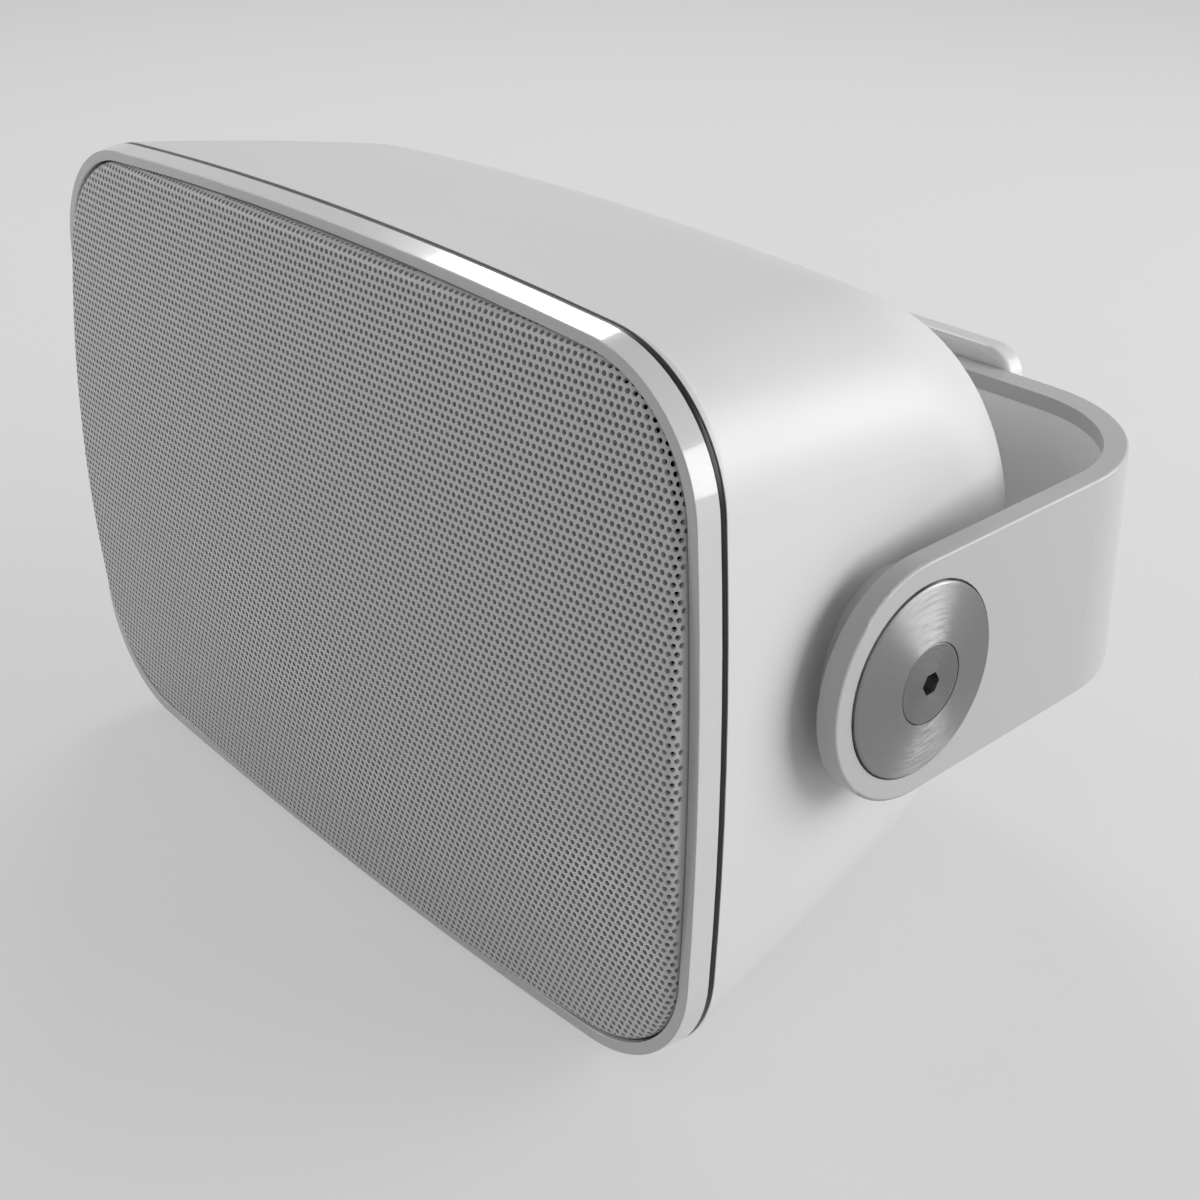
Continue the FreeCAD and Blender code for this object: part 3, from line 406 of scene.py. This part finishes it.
class GrilleForm:
    """A shallow dome with a rolled edge, inside a bowed outline with round corners.

    Points are given on the flat blank, as across and up from the middle of the grille.
    """

    def __init__(self, sizes):
        self.sizes = sizes
        self.middle = 0.5 * (GRILLE_LOW + GRILLE_HIGH)
        self.half_across = 0.5 * (GRILLE_HIGH.x - GRILLE_LOW.x)
        self.half_up = 0.5 * (GRILLE_HIGH.z - GRILLE_LOW.z)
        rim_across = 0.5 * (RIM_HIGH.x - RIM_LOW.x)
        rim_up = 0.5 * (RIM_HIGH.z - RIM_LOW.z)
        self.dome_across = rim_across ** 2 / (2 * sizes.rise_across)
        self.dome_up = rim_up ** 2 / (2 * sizes.rise_up)
        self.side_centre = self.half_across - sizes.side_radius
        self.top_centre = self.half_up - sizes.top_radius
        self.corner = self.find_corner()
        self.to_side = Vector((self.corner.x - self.side_centre, self.corner.y)).normalized()
        self.to_top = Vector((self.corner.x, self.corner.y - self.top_centre)).normalized()
        self.blank_end = sizes.edge_radius * (1.0 - 0.5 * math.pi) - sizes.skirt
        self.deepest = GRILLE_HIGH.y - PLAIN_BACK_EDGE

    def find_corner(self):
        """Centre of the corner arc that touches the side's and the top's long curves."""
        side_reach = self.sizes.side_radius - self.sizes.corner_radius
        top_reach = self.sizes.top_radius - self.sizes.corner_radius
        x = self.half_across - self.sizes.corner_radius
        z = self.half_up - self.sizes.corner_radius
        for turn in range(CORNER_ROUNDS):
            x = self.side_centre + math.sqrt(side_reach ** 2 - z ** 2)
            z = self.top_centre + math.sqrt(top_reach ** 2 - x ** 2)
        return Vector((x, z))

    def edge(self, across, up):
        """Distance inside the outline, and the outward direction there."""
        point = Vector((abs(across), abs(up)))
        from_corner = point - self.corner
        if self.to_side.cross(from_corner) > 0.0 and from_corner.cross(self.to_top) > 0.0:
            reach = from_corner.length
            inside = self.sizes.corner_radius - reach
            outward = from_corner / reach
        else:
            from_side = point - Vector((self.side_centre, 0.0))
            from_top = point - Vector((0.0, self.top_centre))
            inside_side = self.sizes.side_radius - from_side.length
            inside_top = self.sizes.top_radius - from_top.length
            inside = min(inside_side, inside_top)
            outward = (from_side if inside_side < inside_top else from_top).normalized()
        return inside, Vector((math.copysign(outward.x, across), math.copysign(outward.y, up)))

    def dome(self, across, up):
        """Depth of the dome's face and its slope across and up."""
        arc = math.sqrt(self.dome_up ** 2 - up ** 2)
        turn = self.dome_across - self.dome_up + arc
        run = math.sqrt(turn ** 2 - across ** 2)
        depth = GRILLE_LOW.y + self.dome_across - run
        return depth, across / run, turn * up / (arc * run)

    def place(self, across, up, under=0.0):
        """Where a point of the blank ends up, under metres below the sheet's face."""
        inside, outward = self.edge(across, up)
        depth, slope_across, slope_up = self.dome(across, up)
        radius = self.sizes.edge_radius
        start_angle = math.atan(slope_across * outward.x + slope_up * outward.y)
        roll_start = radius * (1.0 - math.sin(start_angle))
        if inside >= roll_start:
            normal = Vector((slope_across, -1.0, slope_up)).normalized()
            face = Vector((across, depth, up))
        else:
            rolled = roll_start - inside
            base = Vector((across, up)) - outward * rolled
            bend = radius * (0.5 * math.pi - start_angle)
            angle = start_angle + min(rolled, bend) / radius
            out = radius * (math.sin(angle) - math.sin(start_angle))
            back = radius * (math.cos(start_angle) - math.cos(angle)) + max(rolled - bend, 0.0)
            deep = min(self.dome(base.x, base.y)[0] + back, self.deepest)
            face = Vector((base.x + outward.x * out, deep, base.y + outward.y * out))
            normal = Vector((outward.x * math.sin(angle), -math.cos(angle), outward.y * math.sin(angle)))
        face -= normal * under
        return Vector((self.middle.x + face.x, face.y, self.middle.z + face.z))

    def ring(self, inside):
        """Points about a step apart along the line that lies inside metres inside the outline."""
        sizes = self.sizes
        side_angle = math.atan2(self.to_side.y, self.to_side.x)
        top_angle = math.atan2(self.to_top.y, self.to_top.x)
        arcs = [
            (Vector((self.side_centre, 0.0)), sizes.side_radius - inside, 0.0, side_angle),
            (self.corner, sizes.corner_radius - inside, side_angle, top_angle),
            (Vector((0.0, self.top_centre)), sizes.top_radius - inside, top_angle, 0.5 * math.pi),
        ]
        quarter = []
        for centre, radius, start, end in arcs:
            count = max(1, round(radius * (end - start) / sizes.step))
            for index in range(count):
                angle = start + (end - start) * index / count
                quarter.append(centre + radius * Vector((math.cos(angle), math.sin(angle))))
        quarter.append(Vector((0.0, self.half_up - inside)))
        loop = list(quarter)
        loop += [Vector((-p.x, p.y)) for p in reversed(quarter[:-1])]
        loop += [Vector((-p.x, -p.y)) for p in quarter[1:]]
        loop += [Vector((p.x, -p.y)) for p in reversed(quarter[1:-1])]
        return loop


class Perforation:
    """The staggered cells of the blank, each with one hole in its middle."""

    AROUND = ((1, 0), (1, 1), (0, 1), (-1, 1), (-1, 0), (-1, -1), (0, -1), (1, -1))
    HOLE_SIDES = 12

    def __init__(self, form):
        self.form = form
        self.sizes = form.sizes
        self.cells = set()
        rows = int(form.half_up / self.sizes.pitch_up) + 3
        columns = int(2 * form.half_across / self.sizes.pitch_across) + 6
        for row in range(-rows, rows + 1):
            for column in range(-columns, columns + 1):
                if (column + row) % 2 == 0 and self.holds_hole(column, row):
                    self.cells.add((column, row))

    def middle(self, column, row):
        """A cell's middle: columns count half pitches, so that rows can be staggered."""
        return 0.5 * self.sizes.pitch_across * column, self.sizes.pitch_up * row

    def holds_hole(self, column, row):
        across, up = self.middle(column, row)
        return self.form.edge(across, up)[0] >= self.sizes.plain_edge

    def corner_key(self, cell, step):
        """A cell's corner or side point, counted in half pitches."""
        return cell[0] + step[0], 2 * cell[1] + step[1]

    def corner_point(self, key):
        return 0.5 * self.sizes.pitch_across * key[0], 0.5 * self.sizes.pitch_up * key[1]

    def covers(self, across, up):
        """Whether a point of the blank lies in one of the cells."""
        row = round(up / self.sizes.pitch_up)
        half = across / (0.5 * self.sizes.pitch_across)
        column = 2 * round((half - row % 2) / 2) + row % 2
        return (column, row) in self.cells

    def near(self, across, up, gap):
        """Whether a point lies in a cell or within a gap of one."""
        for side_across in (-gap, 0.0, gap):
            for side_up in (-gap, 0.0, gap):
                if self.covers(across + side_across, up + side_up):
                    return True
        return False

    def outline_edges(self):
        """Edges of cells that no neighbour shares, as pairs of corner keys."""
        seen = {}
        for cell in self.cells:
            keys = [self.corner_key(cell, step) for step in self.AROUND]
            for index, key in enumerate(keys):
                pair = (key, keys[(index + 1) % len(keys)])
                name = tuple(sorted(pair))
                seen[name] = None if name in seen else pair
        return [pair for pair in seen.values() if pair]

    def stitches(self):
        """Triangles between a cell's points and its hole's points, as (from the cell, index) pairs."""
        outer = len(self.AROUND)
        triangles = []
        i = 0
        j = 0
        while i < outer or j < self.HOLE_SIDES:
            if i < outer and (i + 1) * self.HOLE_SIDES <= (j + 1) * outer or j == self.HOLE_SIDES:
                triangles.append(((True, i), (True, (i + 1) % outer), (False, j % self.HOLE_SIDES)))
                i += 1
            else:
                triangles.append(((True, i % outer), (False, (j + 1) % self.HOLE_SIDES), (False, j)))
                j += 1
        return triangles


class SheetMesh:
    """Collects one strip's points and faces."""

    def __init__(self, form):
        self.form = form
        self.points = []
        self.faces = []
        self.shared = {}

    def point(self, across, up, under=0.0):
        self.points.append(self.form.place(across, up, under))
        return len(self.points) - 1

    def shared_point(self, across, up):
        """One point for all the faces that meet there."""
        key = (round(across * KEYS_PER_METRE), round(up * KEYS_PER_METRE))
        if key not in self.shared:
            self.shared[key] = self.point(across, up)
        return self.shared[key]

    def back_point(self, across, up):
        """Point at the back end of the skirt, straight behind the end of its perforated part."""
        front = self.form.place(across, up)
        key = (round(across * KEYS_PER_METRE), round(up * KEYS_PER_METRE), "back")
        if key not in self.shared:
            self.points.append(Vector((front.x, GRILLE_HIGH.y, front.z)))
            self.shared[key] = len(self.points) - 1
        return self.shared[key]


def strip_of(form, across):
    """Which upright strip a place across the sheet belongs to."""
    count = form.sizes.strips
    share = (across + form.half_across) / (2 * form.half_across)
    return min(count - 1, max(0, int(share * count)))


def add_cells(strips, pattern):
    """The cells with their holes, each a ring of triangles and the hole's wall."""
    sizes = pattern.sizes
    stitches = pattern.stitches()
    sides = pattern.HOLE_SIDES
    turns = [2.0 * math.pi * index / sides for index in range(sides)]
    offsets = [(sizes.hole_radius * math.cos(turn), sizes.hole_radius * math.sin(turn)) for turn in turns]
    for cell in sorted(pattern.cells):
        across, up = pattern.middle(*cell)
        mesh = strips[strip_of(pattern.form, across)]
        keys = [pattern.corner_key(cell, step) for step in pattern.AROUND]
        outer = [mesh.shared_point(*pattern.corner_point(key)) for key in keys]
        front = [mesh.point(across + x, up + z) for x, z in offsets]
        back = [mesh.point(across + x, up + z, sizes.sheet) for x, z in offsets]
        for triangle in stitches:
            mesh.faces.append([outer[index] if on_cell else front[index] for on_cell, index in triangle])
        for index in range(sides):
            after = (index + 1) % sides
            mesh.faces.append([front[index], front[after], back[after], back[index]])


def add_margin(strips, pattern):
    """The plain margin and the rolled edge, between the outermost cells and the skirt."""
    form = pattern.form
    sizes = pattern.sizes
    loop = form.ring(form.blank_end)
    points = list(loop)
    edges = [(index, (index + 1) % len(loop)) for index in range(len(loop))]
    numbers = {}
    for pair in pattern.outline_edges():
        for key in pair:
            if key not in numbers:
                numbers[key] = len(points)
                points.append(Vector(pattern.corner_point(key)))
        edges.append((numbers[pair[0]], numbers[pair[1]]))
    ring_gap = (sizes.edge_radius - form.blank_end) / sizes.rings
    for index in range(1, sizes.rings + 1):
        for point in form.ring(form.blank_end + index * ring_gap):
            if not pattern.near(point.x, point.y, RING_CLEARANCE * ring_gap):
                points.append(point)
    corners, made_edges, triangles, *origins = delaunay_2d_cdt(points, edges, [], 0, POINT_TOLERANCE)
    for triangle in triangles:
        places = [corners[index] for index in triangle]
        middle = (places[0] + places[1] + places[2]) / 3.0
        if form.edge(middle.x, middle.y)[0] < form.blank_end or pattern.covers(middle.x, middle.y):
            continue
        if (places[1] - places[0]).cross(places[2] - places[0]) < 0.0:
            places.reverse()
        mesh = strips[strip_of(form, middle.x)]
        mesh.faces.append([mesh.shared_point(place.x, place.y) for place in places])
    for index, point in enumerate(loop):
        after = loop[(index + 1) % len(loop)]
        mesh = strips[strip_of(form, 0.5 * (point.x + after.x))]
        mesh.faces.append([mesh.shared_point(point.x, point.y), mesh.back_point(point.x, point.y),
                           mesh.back_point(after.x, after.y), mesh.shared_point(after.x, after.y)])


def finish_strip(collected, index, material):
    """Makes a strip's object, which rides on the cabinet and stands for the plain grille."""
    mesh = bpy.data.meshes.new("grille_strip_%d" % (index + 1))
    mesh.from_pydata(collected.points, [], collected.faces)
    mesh.validate()
    mesh.shade_smooth()
    mesh.set_sharp_from_angle(angle=SHEET_FOLD)
    mesh.materials.append(material)
    strip = bpy.data.objects.new(mesh.name, mesh)
    bpy.context.scene.collection.objects.link(strip)
    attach(strip, "cabinet")
    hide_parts("grille")


# The seam's rubber lip

def frame_outline():
    """The outline of the front frame's back face, as across and up, in order round the loop."""
    part = frame["nodes"]["front_frame"]
    places = [part.matrix_world @ vertex.co for vertex in part.data.vertices]
    flat = [Vector((place.x, place.z)) for place in places if place.y > RIM_HIGH.y - FACE_TOLERANCE]
    return [flat[index] for index in convex_hull_2d(flat)]


def inset_loop(loop, depth):
    """A convex loop moved inwards by a depth."""
    moved = []
    for index, point in enumerate(loop):
        along = (loop[(index + 1) % len(loop)] - loop[index - 1]).normalized()
        inward = Vector((-along.y, along.x))
        if inward.dot(point) > 0.0:
            inward = -inward
        moved.append(point + depth * inward)
    return moved


def make_lip(sizes, material):
    """The ring of rubber that fills the seam between the front frame and the housing."""
    outline = frame_outline()
    middle = 0.5 * (RIM_HIGH.y + SHELL_FRONT)
    crown_front = (1.0 - LIP_CROWN_SHARE) * RIM_HIGH.y + LIP_CROWN_SHARE * middle
    crown_back = (1.0 - LIP_CROWN_SHARE) * SHELL_FRONT + LIP_CROWN_SHARE * middle
    section = [(RIM_HIGH.y, sizes.front_inset), (crown_front, sizes.crown_inset),
               (middle, sizes.crown_inset), (crown_back, sizes.crown_inset),
               (SHELL_FRONT, sizes.back_inset), (SHELL_FRONT, sizes.thickness),
               (RIM_HIGH.y, sizes.thickness)]
    points = []
    for depth, inset in section:
        points += [Vector((point.x, depth, point.y)) for point in inset_loop(outline, inset)]
    count = len(outline)
    faces = []
    for row in range(len(section)):
        start = row * count
        below = (row + 1) % len(section) * count
        for index in range(count):
            after = (index + 1) % count
            faces.append([start + index, start + after, below + after, below + index])
    mesh = bpy.data.meshes.new("seam_lip")
    mesh.from_pydata(points, [], faces)
    mesh.validate()
    mesh.shade_smooth()
    mesh.set_sharp_from_angle(angle=LIP_FOLD)
    mesh.materials.append(material)
    lip = bpy.data.objects.new(mesh.name, mesh)
    bpy.context.scene.collection.objects.link(lip)
    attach(lip, "cabinet")


# Operators

class SPEAKER_OT_grille(Operator):
    """Make the fine perforated sheet in place of the coarse one, and dress the scrim behind it"""

    bl_idname = "speaker.grille"
    bl_label = "Grille"

    def execute(self, context):
        sizes = context.scene.speaker_grille
        finish = context.scene.speaker_finish
        form = GrilleForm(sizes)
        pattern = Perforation(form)
        strips = [SheetMesh(form) for index in range(sizes.strips)]
        add_cells(strips, pattern)
        add_margin(strips, pattern)
        coat = powder_coat("grille_coat", finish.grille, roughness=0.42, orange_peel=0.0009)
        for index, collected in enumerate(strips):
            finish_strip(collected, index, coat)
        dress(coat, "grille")
        dress(woven_cloth("scrim_weave", finish.scrim, thread=0.0004), "grille_scrim")
        return {"FINISHED"}


class SPEAKER_OT_housing(Operator):
    """Dress the moulded housing and the front frame, and fill the seam between them"""

    bl_idname = "speaker.housing"
    bl_label = "Housing"

    def execute(self, context):
        finish = context.scene.speaker_finish
        plastic = moulded_plastic("housing_plastic", finish.cabinet, finish.cabinet_roughness)
        dress(plastic, "cabinet_shell", "pivot_spacer_left", "pivot_spacer_right")
        # Painted shade: the frame's faces turned to the front are a quarter darker.
        lacquer = glossy_trim("frame_lacquer", finish.trim, finish.trim_roughness, front_shade_level=0.75)
        dress(lacquer, "front_frame")
        seal = rubber("seal_rubber", finish.rubber, roughness=0.3)
        dress(seal, "seam_seal")
        make_lip(context.scene.speaker_lip, seal)
        return {"FINISHED"}


class SPEAKER_OT_bracket(Operator):
    """Dress the strap, its cover, the wall plate and the screws"""

    bl_idname = "speaker.bracket"
    bl_label = "Bracket"

    def execute(self, context):
        finish = context.scene.speaker_finish
        dress(powder_coat("strap_coat", finish.bracket, finish.bracket_roughness), "bracket_strap")
        dress(powder_coat("plate_coat", finish.plate, finish.bracket_roughness), "wall_plate")
        # Painted light: the cover's colour is lighter than its white to make up for the shade inside the
        # strap.
        dress(moulded_plastic("cover_plastic", finish.cover, roughness=0.42), "bracket_cover")
        steel = plain_metal("screw_steel", finish.bolt, roughness=0.35, grain=0.001)
        dress(steel, "web_screw_left", "web_screw_right")
        return {"FINISHED"}


class SPEAKER_OT_pivots(Operator):
    """Dress the turned discs, the bolts, their inserts and the friction washers"""

    bl_idname = "speaker.pivots"
    bl_label = "Pivots"

    def execute(self, context):
        finish = context.scene.speaker_finish
        disc = turned_metal("disc_aluminium", finish.disc, roughness=0.40, ring_width=0.0004,
                            anisotropy=0.9)
        dress(disc, "pivot_disc_left", "pivot_disc_right")
        bolt = turned_metal("bolt_head", finish.bolt, roughness=0.42, ring_width=0.00025,
                            anisotropy=0.3)
        dress(bolt, "pivot_bolt_left", "pivot_bolt_right")
        brass = plain_metal("insert_brass", BRASS, roughness=0.3, grain=0.001)
        dress(brass, "pivot_insert_left", "pivot_insert_right")
        washer = moulded_plastic("washer_nylon", WASHER_NYLON, roughness=0.5)
        dress(washer, "friction_washer_left", "friction_washer_right")
        return {"FINISHED"}


class SPEAKER_OT_drive_units(Operator):
    """Dress the baffle, the woofer, the passive radiator and the tweeter"""

    bl_idname = "speaker.drive_units"
    bl_label = "Drive units"

    def execute(self, context):
        finish = context.scene.speaker_finish
        dark = moulded_plastic("basket_plastic", finish.dark_plastic, roughness=0.5, grain=0.0006)
        dress(dark, "baffle", "woofer_frame", "radiator_frame", "tweeter_plate")
        iron = plain_metal("magnet_iron", MAGNET_IRON, roughness=0.6, grain=0.002)
        dress(iron, "woofer_magnet", "tweeter_magnet")
        cone = moulded_plastic("cone_polymer", CONE_POLYMER, roughness=0.32, grain=0.0008)
        dress(cone, "woofer_cone", "woofer_dust_cap", "radiator_cone")
        roll = rubber("roll_rubber", ROLL_RUBBER, roughness=0.45)
        dress(roll, "woofer_surround", "radiator_surround", "tweeter_surround")
        dress(woven_cloth("spider_cloth", SPIDER_CLOTH, thread=0.0006), "woofer_spider")
        dome = plain_metal("dome_aluminium", DOME_ALUMINIUM, roughness=0.25, grain=0.002)
        dress(dome, "tweeter_dome")
        return {"FINISHED"}


class SPEAKER_OT_terminals(Operator):
    """Dress the cable terminals at the back, and the crossover and the wadding inside"""

    bl_idname = "speaker.terminals"
    bl_label = "Terminals"

    def execute(self, context):
        finish = context.scene.speaker_finish
        dark = moulded_plastic("terminal_plastic", finish.dark_plastic, roughness=0.45, grain=0.0004)
        dress(dark, "terminal_cup", "terminal_body_left", "terminal_body_right")
        dress(glossy_trim("button_black", BUTTON_BLACK, roughness=0.25), "terminal_button_left")
        dress(glossy_trim("button_red", BUTTON_RED, roughness=0.25), "terminal_button_right")
        laminate = moulded_plastic("board_laminate", BOARD_LAMINATE, roughness=0.4, grain=0.0005)
        dress(laminate, "crossover_board")
        dress(wound_wire("coil_copper", COIL_COPPER, wire=0.0008), "crossover_coil")
        dress(glossy_trim("capacitor_film", CAPACITOR_FILM, roughness=0.3), "crossover_capacitor")
        dress(loose_fibre("wadding_fibre", WADDING_FIBRE), "wadding")
        return {"FINISHED"}


def seen_directly(tree):
    """1 where the camera, a mirror or clear material looks at a surface, and 0 for the light it gives."""
    path = add(tree, "LightPath").outputs
    either = add(tree, "Math", {0: path["Is Camera Ray"], 1: path["Is Glossy Ray"]}, operation="MAXIMUM")
    return add(tree, "Math", {0: either.outputs["Value"], 1: path["Is Transmission Ray"]},
               operation="MAXIMUM").outputs["Value"]


def soft_box(name, place, aim, width, height, power):
    """A rectangular lamp at a place, turned to an aim."""
    lamp = bpy.data.lights.new(name, "AREA")
    lamp.shape = "RECTANGLE"
    lamp.size = width
    lamp.size_y = height
    lamp.energy = power
    holder = bpy.data.objects.new(name, lamp)
    holder.location = place
    holder.rotation_euler = (Vector(aim) - Vector(place)).to_track_quat("-Z", "Y").to_euler()
    bpy.context.scene.collection.objects.link(holder)


def camera_matrix(settings):
    """The camera's place and turn, from its azimuth, elevation and roll."""
    azimuth = settings.azimuth
    elevation = settings.elevation
    back = Vector((math.sin(azimuth) * math.cos(elevation),
                   -math.cos(azimuth) * math.cos(elevation), math.sin(elevation)))
    right = Vector((math.cos(azimuth), math.sin(azimuth), 0.0))
    up = back.cross(right)
    rolled_right = right * math.cos(settings.roll) + up * math.sin(settings.roll)
    rolled_up = up * math.cos(settings.roll) - right * math.sin(settings.roll)
    turn = Matrix((rolled_right, rolled_up, back)).transposed().to_4x4()
    return Matrix.Translation(settings.camera_place) @ turn


class SPEAKER_OT_stage(Operator):
    """Set up the pale floor, the soft lamps, the backdrop and the camera"""

    bl_idname = "speaker.stage"
    bl_label = "Stage"

    def execute(self, context):
        settings = context.scene.speaker_stage
        self.add_floor(settings)
        self.add_world(context.scene, settings)
        middle = 0.5 * (cad_bounds[0] + cad_bounds[1])
        for name, place, width, height, power in LAMPS:
            soft_box(name, place, middle, width, height, power)
        self.add_camera(context.scene, settings)
        context.scene.view_settings.view_transform = "Standard"
        return {"FINISHED"}

    def add_floor(self, settings):
        level = cad_bounds[0].z - settings.drop
        reach = settings.reach
        mesh = bpy.data.meshes.new("floor")
        corners = [(-reach, -reach, level), (reach, -reach, level),
                   (reach, reach, level), (-reach, reach, level)]
        mesh.from_pydata(corners, [], [(0, 1, 2, 3)])
        floor = bpy.data.objects.new("floor", mesh)
        bpy.context.scene.collection.objects.link(floor)
        material, tree, shader = start_material("floor_paper", settings.floor, roughness=0.85,
                                                specular=0.2)
        tint(tree, shader, settings.floor, share=0.01, factor=noise(tree, size=0.05, detail=3.0))
        pale = add(tree, "Emission", {"Color": (*settings.paper, 1.0), "Strength": 1.0})
        share = add(tree, "Math", {0: seen_directly(tree), 1: settings.pale_share}, operation="MULTIPLY")
        mix = add(tree, "MixShader", {0: share.outputs["Value"], 1: shader.outputs["BSDF"],
                                      2: pale.outputs["Emission"]})
        tree.links.new(mix.outputs["Shader"], tree.nodes["Material Output"].inputs["Surface"])
        mesh.materials.append(material)

    def add_world(self, scene, settings):
        """Soft light from all round, and a pale backdrop for the camera and for reflections."""
        world = bpy.data.worlds.new("studio")
        world.use_nodes = True
        scene.world = world
        tree = world.node_tree
        lit = tree.nodes["Background"]
        lit.inputs["Color"].default_value = (1.0, 1.0, 1.0, 1.0)
        lit.inputs["Strength"].default_value = settings.ambient
        seen = add(tree, "Background", {"Color": (*settings.backdrop, 1.0), "Strength": 1.0})
        mix = add(tree, "MixShader", {0: seen_directly(tree), 1: lit.outputs["Background"],
                                      2: seen.outputs["Background"]})
        tree.links.new(mix.outputs["Shader"], tree.nodes["World Output"].inputs["Surface"])

    def add_camera(self, scene, settings):
        camera = bpy.data.cameras.new("camera")
        camera.lens = settings.focal_length
        camera.shift_x = settings.shift_across
        camera.shift_y = settings.shift_up
        camera.clip_start = 0.01
        holder = bpy.data.objects.new("camera", camera)
        holder.matrix_world = camera_matrix(settings)
        scene.collection.objects.link(holder)
        scene.camera = holder


class SPEAKER_PT_panel(Panel):
    """Sizes, finishes and stage, with a button for each group of pieces"""

    bl_idname = "SPEAKER_PT_panel"
    bl_label = "Speaker"
    bl_space_type = "VIEW_3D"
    bl_region_type = "UI"
    bl_category = "Speaker"

    def draw(self, context):
        layout = self.layout
        for operator in OPERATORS:
            layout.operator(operator.bl_idname)
        scene = context.scene
        groups = (scene.speaker_grille, scene.speaker_lip, scene.speaker_finish, scene.speaker_stage)
        for settings in groups:
            box = layout.box()
            for name in settings.__annotations__:
                box.prop(settings, name)


OPERATORS = (
    SPEAKER_OT_housing,
    SPEAKER_OT_grille,
    SPEAKER_OT_bracket,
    SPEAKER_OT_pivots,
    SPEAKER_OT_drive_units,
    SPEAKER_OT_terminals,
    SPEAKER_OT_stage,
)
SETTINGS = (GrilleSettings, LipSettings, FinishSettings, StageSettings)
CLASSES = SETTINGS + OPERATORS + (SPEAKER_PT_panel,)


def register():
    for cls in CLASSES:
        bpy.utils.register_class(cls)
    bpy.types.Scene.speaker_grille = PointerProperty(type=GrilleSettings)
    bpy.types.Scene.speaker_lip = PointerProperty(type=LipSettings)
    bpy.types.Scene.speaker_finish = PointerProperty(type=FinishSettings)
    bpy.types.Scene.speaker_stage = PointerProperty(type=StageSettings)


def unregister():
    del bpy.types.Scene.speaker_stage
    del bpy.types.Scene.speaker_finish
    del bpy.types.Scene.speaker_lip
    del bpy.types.Scene.speaker_grille
    for cls in reversed(CLASSES):
        bpy.utils.unregister_class(cls)


def main():
    register()
    bpy.ops.speaker.housing()
    bpy.ops.speaker.grille()
    bpy.ops.speaker.bracket()
    bpy.ops.speaker.pivots()
    bpy.ops.speaker.drive_units()
    bpy.ops.speaker.terminals()
    bpy.ops.speaker.stage()


if __name__ == "__main__":
    main()
